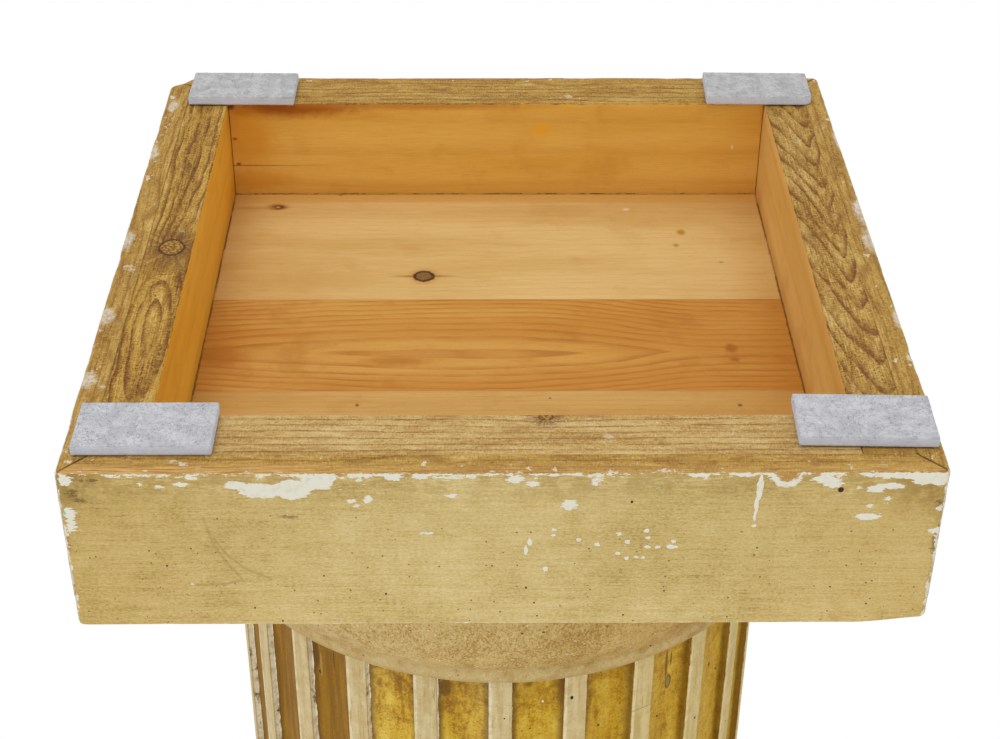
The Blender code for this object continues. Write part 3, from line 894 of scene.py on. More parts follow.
# Bottom panel: three boards, planed pine below and painted above
panelKnot = fromPhoto(424, 276, 2, panelZ)
figureCentre = fromPhoto(500, 352, 2, panelZ)
panelLooks = {
    "back": {"light": (0.710, 0.480, 0.190), "dark": (0.620, 0.380, 0.125), "late": (0.500, 0.250, 0.055),
             "pale": (0.790, 0.600, 0.290), "seed": 11.0, "atWall": True, "fibres": 0.28,
             "grain": {"spacing": 0.0050, "warp": 0.020, "strength": 0.30, "start": 0.72,
                       "knots": ((panelKnot.xy, 4.6 * mm),)},
             "spots": (((681, 232), (0.0030, 0.0034), (0.46, 0.21, 0.020), 0.9),
                       ((676, 245), (0.0020, 0.0022), (0.46, 0.21, 0.020), 0.8),
                       ((721, 262), (0.0016, 0.0012), (0.40, 0.18, 0.020), 0.6),
                       ((341, 194), (0.0020, 0.0022), (0.10, 0.04, 0.008), 1.0),
                       ((277, 207), (0.0075, 0.0042), (0.34, 0.150, 0.024), 0.9),
                       ((279, 207), (0.0045, 0.0030), (0.15, 0.050, 0.008), 1.0),
                       ((278, 207), (0.0015, 0.0009), (0.60, 0.38, 0.13), 0.9),
                       ((250, 208), (0.016, 0.0022), (0.52, 0.27, 0.045), 0.7),
                       ((626, 209), (0.0022, 0.0016), (0.80, 0.66, 0.42), 0.7),
                       ((310, 280), (0.050, 0.012), (0.56, 0.32, 0.085), 0.45))},
    "middle": {"light": (0.610, 0.320, 0.066), "dark": (0.530, 0.230, 0.032), "late": (0.390, 0.125, 0.012),
               "pale": (0.670, 0.410, 0.130), "seed": 12.0, "blotched": 0.35,
               "grain": {"spacing": 0.0120, "warp": 0.010, "strength": 0.72, "start": 0.40, "crowd": 1.5,
                         "lens": (figureCentre.xy, 1.9, 0.40), "cap": 0.015},
               "spots": (((397, 361), (0.020, 0.0050), (0.42, 0.145, 0.012), 0.7),
                         ((220, 356), (0.014, 0.0120), (0.42, 0.15, 0.014), 0.8),
                         ((731, 348), (0.0036, 0.0046), (0.36, 0.125, 0.010), 1.0),
                         ((735, 359), (0.0030, 0.0026), (0.38, 0.135, 0.012), 1.0))},
    "front": {"light": (0.600, 0.355, 0.108), "dark": (0.530, 0.285, 0.066), "late": (0.430, 0.190, 0.033),
              "pale": (0.680, 0.440, 0.160), "seed": 13.0,
              "grain": {"spacing": 0.0040, "warp": 0.006, "strength": 0.30, "start": 0.62},
              "spots": (((357, 405), (0.0010, 0.0014), (0.20, 0.08, 0.012), 0.9),
                        ((550, 398), (0.0008, 0.0010), (0.20, 0.08, 0.012), 0.8),
                        ((740, 405), (0.0014, 0.0014), (0.20, 0.08, 0.012), 0.9))},
}
panelShape = {"cell": 2.0 * mm, "unevenness": 0.25 * mm, "edgeDrop": 0.06 * mm,
              "closer": (0.26 * mm, 0.14 * mm, 0)}


def panelFinish(name, look, box):
    f = Finish(name)
    low, high = box
    place = f.place()
    along, across, z = f.split(place)
    colour, fibres = planedPine(f, along, across, place, look)
    ragged = f.noise(place, 260.0, 4.0, 0.6)
    for (px, py), radii, colourHere, strength in look.get("spots", ()):
        at = fromPhoto(px, py, 2, panelZ)
        away = ovalField(f, place, [(at.xy, radii)], (0, 1))
        away = (ragged - 0.5) * 0.6 + away
        colour = f.over(colour, colourHere, away, 1.2, 0.3, strength)
    for (kx, ky), radius in look["grain"].get("knots", ()):
        dx = (along - kx) * 0.95
        dy = across - ky
        away = f.hypot(dx, dy)
        away = (f.noise(place, 400.0, 3.0) - 0.5) * (radius * 0.45) + away
        streak = ovalField(f, place, [((kx, ky), (radius * 5, radius * 0.40))], (0, 1))
        colour = f.over(colour, (0.33, 0.115, 0.018), streak, 1.0, 0.1)
        colour = f.over(colour, (0.46, 0.2, 0.035), away, radius * 2.2, radius, 0.5)
        rings = f.math("FRACT", away * 1100.0)
        inside = f.over((0.34, 0.185, 0.05), (0.1, 0.04, 0.012), rings, 0.2, 0.8)
        colour = f.over(colour, inside, away, radius * 1.1, radius)
        ring = 1.0 - f.span(abs(away - radius), 0.0, radius * 0.36)
        colour = f.mix(ring, colour, (0.05, 0.018, 0.008))
    ends = high.x - abs(along)
    # Painted shade: the board darkens over its last 30 mm towards the side walls, in the inner corners
    colour = f.over(colour, look["late"], ends, 0.03, 0.0, 0.35)
    edge = f.least(across - low.y, high.y - across)
    jointLine = f.span((ragged - 0.5) * 0.0008 + edge, 0.0009, 0.0003, 0.0, 0.1)
    colour = f.mix(jointLine, colour, (0.25, 0.10, 0.02))
    dirt = (ragged - 0.5) * 0.0014 + ends
    broken = f.span(f.noise(place, 42.0, 4.0, 0.7), 0.40, 0.56, 0.35, 0.8)
    colour = f.mix(f.span(dirt, 0.0008, 0.0002) * broken, colour, (0.14, 0.06, 0.01))
    if look.get("atWall"):
        wallEnd = (ragged - 0.5) * 0.002 + (high.y - across)
        colour = f.over(colour, (0.6, 0.3, 0.055), wallEnd, 0.011, 0.008, 0.6)
        colour = f.over(colour, (0.16, 0.07, 0.014), wallEnd, 0.0004, 0.0, 0.5)
    paint = agedPaint(f, place, facingLook)[0]
    colour = f.mix(z > plinthTop - 0.001, colour, paint)
    normal = f.bump(fibres, 0.00008, 0.6)
    return f.finish(colour, 0.45, normal, Specular_IOR_Level=0.12)


def panelBoard(name, node, finish, v):
    low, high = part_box(node)
    low = low - Vector(v["closer"])
    high = high + Vector(v["closer"])
    nx, ny = (max(2, round((high[k] - low[k]) / v["cell"])) + 1 for k in (0, 1))
    xs, ys = np.linspace(low.x, high.x, nx), np.linspace(low.y, high.y, ny)
    gx, gy = np.meshgrid(xs, ys, indexing="ij")
    under = np.stack([gx.ravel(), gy.ravel(), np.full(nx * ny, low.z)], 1)
    toEdge = np.minimum(under[:, 1] - low.y, high.y - under[:, 1])
    under[:, 2] += dents(under, (0.09, 0.02, 0.02), 71, v["unevenness"])
    under[:, 2] += v["edgeDrop"] * np.exp(-toEdge / (0.8 * mm))
    top = np.array([(x, y, high.z) for x, y in (low.xy, (high.x, low.y), high.xy, (low.x, high.y))])
    verts = np.vstack([under, top])
    t = nx * ny
    faces = gridQuads(nx, ny)
    faces.append([t, t + 1, t + 2, t + 3])
    faces.append([i * ny for i in range(nx)] + [t + 1, t])
    faces.append([i * ny + ny - 1 for i in range(nx)] + [t + 2, t + 3])
    faces.append(list(range(ny)) + [t + 3, t])
    faces.append(list(range((nx - 1) * ny, nx * ny)) + [t + 2, t + 1])
    return addPiece(name, verts, faces, [finish])


for part, look in panelLooks.items():
    node = "panel_board_" + part
    pine = panelFinish("panelPine" + part.capitalize(), look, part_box(node))
    dress(panelBoard("bottom_panel_" + part, node, pine, panelShape), "panel_wood", node)
print("Pedestal: bottom panel")


# A Geometry Nodes tree with named inputs
class Tree(Nodes):
    def __init__(self, name, inputs):
        super().__init__(bpy.data.node_groups.new(name, "GeometryNodeTree"))
        face = self.tree.interface
        kinds = {type(None): "NodeSocketGeometry", float: "NodeSocketFloat", int: "NodeSocketInt"}
        for key, value in inputs.items():
            socket = face.new_socket(key, in_out="INPUT", socket_type=kinds[type(value)])
            if value is not None:
                socket.default_value = value
        face.new_socket("Geometry", in_out="OUTPUT", socket_type="NodeSocketGeometry")
        outputs = self.tree.nodes.new("NodeGroupInput").outputs
        self.given = {socket.name: Signal(self, socket) for socket in outputs}
        self.out = self.tree.nodes.new("NodeGroupOutput").inputs

    def choose(self, condition, yes, no):
        return self.node("GeometryNodeSwitch", {0: condition, 1: no, 2: yes}, input_type="FLOAT")

    def ended(self, geometry, finish):
        whole = self.node("GeometryNodeRealizeInstances", {"Geometry": geometry})
        painted = self.node("GeometryNodeSetMaterial", {"Geometry": whole, "Material": finish})
        self.feed(self.out["Geometry"], painted)
        return self.tree


# Runs a tree on a mesh object and keeps the result as a plain mesh
def throughTree(source, tree, values, name):
    modifier = source.modifiers.new("tree", "NODES")
    modifier.node_group = tree
    for item in tree.interface.items_tree:
        if item.item_type == "SOCKET" and item.in_out == "INPUT" and item.name in values:
            modifier[item.identifier] = values[item.name]
    bpy.context.view_layer.update()
    graph = bpy.context.evaluated_depsgraph_get()
    mesh = bpy.data.meshes.new_from_object(source.evaluated_get(graph), preserve_all_data_layers=True,
                                           depsgraph=graph)
    mesh.name = name
    bpy.data.objects.remove(source)
    return intoScene(name, mesh)


# Felt pads: a cut strip with soft edges, and loose fibres from Geometry Nodes
feltLook = {"light": (0.590, 0.592, 0.612), "dark": (0.170, 0.175, 0.200), "cell": 0.75 * mm,
            "edgeRadius": 0.7 * mm, "fuzz": 0.22 * mm, "fibres": 1500, "fibreLength": 2.6 * mm,
            "fibreRadius": 0.026 * mm}


def feltFinish(look):
    f = Finish("pressedFelt")
    place = f.place()
    patches = f.noise(place, 110.0, 4.0, 0.7)
    colour = f.over((0.45, 0.452, 0.472), look["light"], patches, 0.34, 0.64)
    speckled = f.noise(place, 480.0, 4.0, 0.75)
    colour = f.over(colour, (0.29, 0.295, 0.32), speckled, 0.52, 0.7, 0.6)
    for number, size in enumerate((0.0034, 0.0020, 0.0050, 0.0027)):
        veil = f.noise(f.vector("ADD", place, (number * 0.37, 0.11, 0.0)), 1 / size, 3.0, 0.55, 1.2)
        line = f.span(abs(veil - 0.5), 0.0, 0.016, 1.0, 0.0)
        here = f.span(f.noise(place, 150.0 + 40 * number, 2.0), 0.50, 0.60)
        colour = f.mix(line * here * 0.75, colour, look["dark"])
    grain = f.noise(place, 1500.0, 2.0, 0.7)
    colour = f.over(colour, (0.66, 0.66, 0.7), grain, 0.52, 0.8, 0.5)
    x, y, height = f.split(place)
    colour = f.mix(f.span(y, 0.0, 0.1), colour, (0.93, 0.93, 0.89), "MULTIPLY")
    onSide = f.span(height, 0.0004, 0.001) * f.span(height, rimZ, rimZ - 0.0004)
    colour = f.mix(onSide * 0.7, colour, (0.69, 0.745, 0.88))
    normal = f.bump(grain + patches, 0.00035, 0.9)
    return f.finish(colour, 0.95, normal, Specular_IOR_Level=0.05, Sheen_Weight=0.05, Sheen_Roughness=0.6)


def fibreTree(v, finish):
    t = Tree("feltFibres", {"Geometry": None, "Fibre Density": 0.0, "Fibre Length": v["fibreLength"],
                            "Fibre Radius": v["fibreRadius"], "Seed": 0})
    given = t.given
    points = t.node("GeometryNodeDistributePointsOnFaces",
                    {"Mesh": given["Geometry"], "Density": given["Fibre Density"], "Seed": given["Seed"]})
    arc = t.node("GeometryNodeCurveQuadraticBezier",
                 {"Resolution": 4, "Start": (-0.5, 0, -0.04), "Middle": (0.05, 0.2, 0.12),
                  "End": (0.5, 0, -0.02)})
    spin = t.node("FunctionNodeRandomValue",
                  {0: (-0.15, -0.15, 0), 1: (0.15, 0.15, 2 * math.pi), "Seed": given["Seed"]}, "Value",
                  data_type="FLOAT_VECTOR")
    turn = t.node("FunctionNodeRotateEuler", {"Rotation": points.other("Rotation"), "Rotate By": spin},
                  rotation_type="EULER", space="LOCAL")
    arcs = t.node("GeometryNodeInstanceOnPoints",
                  {"Points": points, "Instance": arc, "Rotation": turn, "Scale": given["Fibre Length"]})
    arcs = t.node("GeometryNodeRealizeInstances", {"Geometry": arcs})
    ring = t.node("GeometryNodeCurvePrimitiveCircle", {"Resolution": 3, "Radius": given["Fibre Radius"]})
    fibres = t.node("GeometryNodeCurveToMesh", {"Curve": arcs, "Profile Curve": ring, "Fill Caps": True})
    both = t.node("GeometryNodeJoinGeometry", {"Geometry": given["Geometry"]})
    t.feed(both.socket.node.inputs["Geometry"], fibres)
    return t.ended(both, finish)


def roundedSlab(length, width, height, cell, radius):
    counts = [max(2, round(size / cell)) for size in (length, width, height)]
    verts, faces, lookup = [], [], {}
    half = np.array([length, width, height]) / 2

    def corner(key):
        if key not in lookup:
            lookup[key] = len(verts)
            verts.append([(n / c * 2 - 1) * h for n, c, h in zip(key, counts, half)])
        return lookup[key]

    for a, b, c in ((0, 1, 2), (0, 2, 1), (1, 2, 0)):  # two axes along a face and one across it
        for i, j, k in product(range(counts[a]), range(counts[b]), (0, counts[c])):
            quad = []
            for right, up in ((0, 0), (1, 0), (1, 1), (0, 1)):
                at = {a: i + right, b: j + up, c: k}
                quad.append(corner((at[0], at[1], at[2])))
            faces.append(quad)
    points = np.array(verts)
    core = np.clip(points, -(half - radius), half - radius)
    away = points - core
    far = np.linalg.norm(away, axis=1, keepdims=True)
    box = np.abs(away).max(axis=1, keepdims=True)
    return core + away * np.where(far > 1e-9, box / np.maximum(far, 1e-9), 0), faces


def feltPad(node, turnDeg, snip, look, finish, tree, seed):
    low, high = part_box(node)
    turn = math.radians(turnDeg)
    wide, deep = high.x - low.x, high.y - low.y
    c, s = abs(math.cos(turn)), abs(math.sin(turn))
    length = (wide * c - deep * s) / (c * c - s * s)
    width = (deep * c - wide * s) / (c * c - s * s)
    points, faces = roundedSlab(length, width, high.z - low.z, look["cell"], look["edgeRadius"])
    half = np.array([length, width]) / 2
    if snip:
        over = np.clip((points[:, 0] * snip[0] / half[0] + points[:, 1] * snip[1] / half[1]) - snip[2], 0,
                       None)
        points[:, 0] -= over * snip[0] * half[0] * 0.5
        points[:, 1] -= over * snip[1] * half[1] * 0.5
    inward = dents(points, 0.0016, seed, look["fuzz"])
    points = points * (1 - inward[:, None] / np.array([length, width, high.z - low.z]))
    placed = turned(points, turn) + [(low[k] + high[k]) / 2 for k in range(3)]
    source = addPiece(node + "_source", placed, faces, [finish], sharpDeg=180)
    area = 2 * length * width + 2 * (length + width) * (high.z - low.z)
    values = {"Fibre Density": look["fibres"] / area, "Fibre Length": look["fibreLength"],
              "Fibre Radius": look["fibreRadius"], "Seed": seed}
    piece = throughTree(source, tree, values, node.replace("felt_pad", "felt_strip"))
    for vertex in piece.data.vertices:
        vertex.co.z = max(vertex.co.z, 0.0)
    dress(piece, "felt", node)


felt = feltFinish(feltLook)
fibres = fibreTree(feltLook, felt)
padTurns = {"felt_pad_front_right": (0.0, None), "felt_pad_front_left": (1.5, None),
            "felt_pad_back_right": (0.8, None), "felt_pad_back_left": (1.2, (-1, -1, 1.82))}
for seed, (node, (turnDeg, snip)) in enumerate(padTurns.items()):
    feltPad(node, turnDeg, snip, feltLook, felt, fibres, 200 + seed)
print("Pedestal: felt pads")


# Collars: turned rings, painted and crackled, each with a band at its narrow end
collarLook = {
    "light": (0.600, 0.455, 0.200),
    "mid": (0.505, 0.345, 0.112),
    "dark": (0.335, 0.190, 0.038),
    "band": (0.660, 0.520, 0.255),
    "bandHeight": 7.6 * mm,
    "bandProjection": 13.2 * mm,
    "quirk": 1.2 * mm,
    "step": 0.15 * mm,
    "footProjection": 26.0 * mm,
    "neckFootProjection": 24.0 * mm,
    "bulge": 5.0 * mm,
    "neckBulge": 4.0 * mm,
    "around": 420,
    "cell": 1.6 * mm,
    "unevenness": 0.45 * mm,
}
shaftRadius = shaftBox[1].x


def collarFinish(look):
    f = Finish("crackledCollar")
    place = f.place()
    x, y, z = f.split(place)
    fromBand = f.attribute("fromBand")
    arc = f.math("ARCTAN2", x, y * -1.0) * shaftRadius
    broad = f.noise(place, 18.0, 3.0, 0.6)
    mottled = f.noise(place, 160.0, 4.0, 0.7)
    crazed = f.stretched(place, (0.0010, 0.0010, 0.0028), 5.0, 0.78)
    fine = f.noise(place, 1000.0, 3.0, 0.75)
    tone = broad * 0.4 + mottled * 0.38 + crazed * 0.72 + fine * 0.65
    colour = f.ramp(f.span(tone, 0.95, 1.22, smooth=False),
                    ((0.0, look["dark"]), (0.42, look["mid"]), (0.90, look["light"])))
    # Painted light on the front: a paler painted highlight on the +X side, and a darker, warmer painted shade
    # (golden) on the -X side
    inFront = f.span(y, 0.06, -0.10)
    paintedHighlight = f.span(x, 0.02, 0.12, 0.0, 0.8) * inFront
    golden = f.span(x, 0.0, -0.12, 0.0, 0.95) * inFront
    colour = f.mix(paintedHighlight, colour, (1.06, 1.10, 1.25), "MULTIPLY")
    colour = f.mix(golden, colour, (0.87, 0.67, 0.26), "MULTIPLY")
    hair = f.stretched(place, (0.0018, 0.0018, 0.013), 4.0, 0.6)
    hair = f.span(abs(hair - 0.5), 0.0, 0.01, 1.0, 0.0)
    hair = hair * f.span(f.noise(place, 60.0, 3.0, 0.6), 0.45, 0.6)
    colour = f.mix(hair * 0.6, colour, (0.22, 0.11, 0.025))
    pricks = f.stretched(place, (0.0008, 0.0008, 0.0013), 3.0, 0.7)
    colour = f.over(colour, (0.27, 0.135, 0.03), pricks, 0.58, 0.68, 0.55)
    flecks = f.span(f.noise(place, 420.0, 3.0, 0.6), 0.67, 0.70, 0.0, 0.8)
    colour = f.mix(flecks, colour, (0.76, 0.68, 0.49))
    band = look["bandHeight"]
    # Grime and painted shade: the collar darkens in patches over the last 16 mm above the band, where its
    # surface turns under towards it
    grimeAndShadePatches = f.span(f.noise(place, 130.0, 4.0, 0.7), 0.40, 0.60, 0.25, 1.0)
    grime = f.span(fromBand, band + 0.016, band - 0.001) * grimeAndShadePatches
    grime = grime * f.span(fromBand, band - 0.004, band - 0.001, 0.3, 1.0)
    colour = f.mix(grime * 0.42, colour, (0.32, 0.2, 0.055))
    wavy = (f.noise(place, 90.0, 3.0) - 0.5) * 0.003 + fromBand
    onBand = f.span(wavy, band + 0.0022, band - 0.0022)
    bandTone = f.over(look["band"], (0.4, 0.26, 0.08), crazed + fine, 0.9, 1.2)
    colour = f.mix(onBand * f.span(mottled, 0.36, 0.6, 0.2, 0.65), colour, bandTone)
    edge = f.span(fromBand, 0.0026, 0.0008, 0.0, 0.5)
    colour = f.mix(edge, colour, (0.40, 0.275, 0.09))
    holes = wormHoles(f, arc, fromBand, 0.0085, 0.0004, 0.30)
    colour = f.mix(holes * 0.9, colour, (0.07, 0.035, 0.012))
    normal = f.bump(crazed * 0.7 + fine, 0.00025, 0.9)
    return f.finish(colour, 0.58, normal, Specular_IOR_Level=0.12)


def collarSection(foot, height, bulge, v):
    start = Vector((foot, 0))
    quirk = Vector((shaftRadius + v["bandProjection"] - v["step"], height - v["bandHeight"]))
    band = shaftRadius + v["bandProjection"]
    chord = quirk - start
    radius = (chord.length ** 2 / 4 + bulge ** 2) / (2 * bulge)
    half = math.asin(chord.length / (2 * radius))
    out = Vector((chord.y, -chord.x)).normalized()
    steps = round(chord.length / v["cell"])
    line = []
    for i in range(steps + 1):
        angle = half * (2 * i / steps - 1)
        rise = radius * math.cos(angle) - (radius - bulge)
        line.append((start + quirk) / 2 + out * rise + chord.normalized() * radius * math.sin(angle))
    bandLow = Vector((band, height - v["bandHeight"] + v["quirk"]))
    bandHigh = Vector((band, height - v["quirk"]))
    line += [quirk.lerp(bandLow, s) for s in (0.34, 0.67, 1)]
    line += [bandLow.lerp(bandHigh, s) for s in (0.35, 0.7, 1)]
    for i in range(1, 5):
        turn = math.pi / 2 * i / 4
        line.append(Vector((band - v["quirk"] * (1 - math.cos(turn)),
                            height - v["quirk"] * (1 - math.sin(turn)))))
    inner = shaftRadius - 12 * mm
    line += [Vector((inner + (band - v["quirk"] - inner) * s, height)) for s in (0.75, 0.5, 0.25, 0)]
    return line


def collar(name, node, foot, bulge, upsideDown, v, finish):
    low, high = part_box(node)
    height = high.z - low.z
    section = np.array([tuple(p) for p in collarSection(shaftRadius + foot, height, bulge, v)])
    rows, count = len(section), v["around"]
    radius, rise = np.repeat(section, count, axis=0).T
    angle = np.tile(np.arange(count) / count * 2 * math.pi, rows)
    verts = np.stack([radius * np.sin(angle), -radius * np.cos(angle), rise], 1)
    uneven = dents(verts, (0.02, 0.02, 0.05), 31 if upsideDown else 30, v["unevenness"])
    flatEnd = 0.5 * mm
    side = (rise > flatEnd) & (rise < height - flatEnd)
    verts[:, :2] *= (1 - np.where(side, uneven, 0) / radius)[:, None]
    verts[:, 2] = high.z - rise if upsideDown else low.z + rise
    faces = gridQuads(rows, count, True) + endCaps(rows, count)
    dress(addPiece(name, verts, faces, [finish], {"fromBand": height - rise}), "collar_paint", node)


collarPaint = collarFinish(collarLook)
collar("turned_base_collar", "base_collar", collarLook["footProjection"], collarLook["bulge"], False,
       collarLook, collarPaint)
collar("turned_neck_collar", "neck_collar", collarLook["neckFootProjection"], collarLook["neckBulge"],
       True, collarLook, collarPaint)
print("Pedestal: collars")


# Shaft: a sheet of flutes wrapped round by Geometry Nodes
shaftLook = {
    "flutes": 24,
    "filletWidth": 11.0 * mm,
    "wallDepth": 3.2 * mm,
    "hollow": 2.0 * mm,
    "filletSteps": 4,  # points across a fillet
    "floorSteps": 8,  # points across a flute's floor
    "rows": 300,
    "unevenness": 0.5 * mm,
    "cream": (0.640, 0.520, 0.285),
    "creamDark": (0.500, 0.370, 0.155),
    "goldLight": (0.750, 0.535, 0.072),
    "gold": (0.590, 0.352, 0.016),
    "goldDark": (0.285, 0.122, 0.003),
    "brown": (0.325, 0.156, 0.003),
    "brownDark": (0.225, 0.098, 0.002),
    "brownFlutes": (2, 3, 4),
    "marks": (  # place in the photograph, depth there, reach round and up the shaft, colour, strength
        ((668.5, 682), 4.6 * mm, (2.0 * mm, 4.6 * mm), (0.130, 0.075, 0.014), 0.9),
        ((668.5, 682), 4.6 * mm, (1.2 * mm, 3.2 * mm), (0.300, 0.215, 0.050), 0.9),
        ((667.5, 664), 4.6 * mm, (0.8 * mm, 10 * mm), (0.150, 0.075, 0.010), 0.8),
        ((672, 658), 4.6 * mm, (0.5 * mm, 5 * mm), (0.150, 0.075, 0.010), 0.8),
        ((711, 665), 4.0 * mm, (0.7 * mm, 1.6 * mm), (0.120, 0.060, 0.010), 0.9),
        ((572, 698), 0.0, (0.8 * mm, 1.2 * mm), (0.030, 0.015, 0.006), 1.0),
        ((314, 676), 0.0, (0.8 * mm, 1.2 * mm), (0.040, 0.025, 0.012), 1.0),
        ((316, 654), 3.6 * mm, (1.7 * mm, 9 * mm), (0.130, 0.065, 0.008), 0.9),
        ((320, 666), 3.6 * mm, (0.7 * mm, 8 * mm), (0.420, 0.260, 0.060), 0.7),
        ((332.5, 659), 4.6 * mm, (0.35 * mm, 8 * mm), (0.070, 0.035, 0.010), 0.9),
        ((446, 688), 4.2 * mm, (2.6 * mm, 7 * mm), (0.150, 0.070, 0.008), 0.8),
        ((640, 709), 0.0, (9 * mm, 0.35 * mm), (0.330, 0.215, 0.080), 0.8),
        ((543, 702), 4.8 * mm, (0.6 * mm, 0.9 * mm), (0.800, 0.750, 0.600), 0.9),
    ),
}


def flutedTree(v, low, high, finish):
    sizes = {"Flutes": v["flutes"], "Rows": v["rows"], "Radius": shaftRadius, "Base": low,
             "Length": high - low,
             "Fillet Width": v["filletWidth"], "Wall Depth": v["wallDepth"], "Hollow": v["hollow"],
             "Unevenness": v["unevenness"]}
    t = Tree("flutedShaft", sizes)
    given = t.given
    perFlute = v["filletSteps"] + v["floorSteps"]
    columns = given["Flutes"] * float(perFlute) + 1.0
    grid = t.node("GeometryNodeMeshGrid",
                  {"Vertices X": columns, "Vertices Y": given["Rows"], "Size X": 1, "Size Y": 1})
    index = t.node("GeometryNodeInputIndex")
    column = t.math("FLOOR", (index + 0.5) / given["Rows"])
    row = index - column * given["Rows"]
    flute = t.math("FLOOR", (column + 0.5) / float(perFlute))
    step = column - flute * float(perFlute)
    onFillet = step < v["filletSteps"] - 0.5
    pitch = 2 * math.pi / given["Flutes"]
    halfFillet = given["Fillet Width"] / (given["Radius"] * 2.0)
    acrossFillet = step * (2.0 / (v["filletSteps"] - 1)) - 1.0
    acrossFloor = (step - float(v["filletSteps"])) / float(v["floorSteps"] - 1)
    floorWidth = pitch - halfFillet * 2.0
    filletAngle = acrossFillet * halfFillet
    floorAngle = halfFillet + acrossFloor * floorWidth
    local = t.choose(onFillet, filletAngle, floorAngle)
    angle = flute * pitch + local
    bow = given["Hollow"] * t.math("SINE", acrossFloor * math.pi)
    floorDepth = given["Wall Depth"] + bow
    depth = t.choose(onFillet, 0.0, floorDepth)
    share = row / (given["Rows"] - 1.0)
    z = share * given["Length"] + given["Base"]
    roundX = t.math("SINE", angle)
    roundY = t.math("COSINE", angle) * -1.0
    uneven = t.noise(t.join(roundX * 0.14, roundY * 0.14, z * 0.3), 60.0, 3.0, 0.5) * given["Unevenness"]
    radius = given["Radius"] - depth - uneven
    shape = t.node("GeometryNodeStoreNamedAttribute", {"Geometry": grid, "Name": "depth", "Value": depth},
                   data_type="FLOAT", domain="POINT")
    position = t.join(roundX * radius, roundY * radius, z)
    shape = t.node("GeometryNodeSetPosition", {"Geometry": shape, "Position": position})
    return t.ended(shape, finish)


# Where a point of the photograph falls on the shaft: its way round, from the front, and its height
def onShaft(px, py, depth):
    start = cameraMatrix.translation
    run = fromPhoto(px, py, 1, 0.0) - start
    a = run.x ** 2 + run.y ** 2
    b = start.x * run.x + start.y * run.y
    c = start.x ** 2 + start.y ** 2 - (shaftRadius - depth) ** 2
    at = start + run * ((-b - math.sqrt(b * b - a * c)) / a)
    return (math.atan2(at.x, -at.y) % (2 * math.pi)) * shaftRadius, at.z


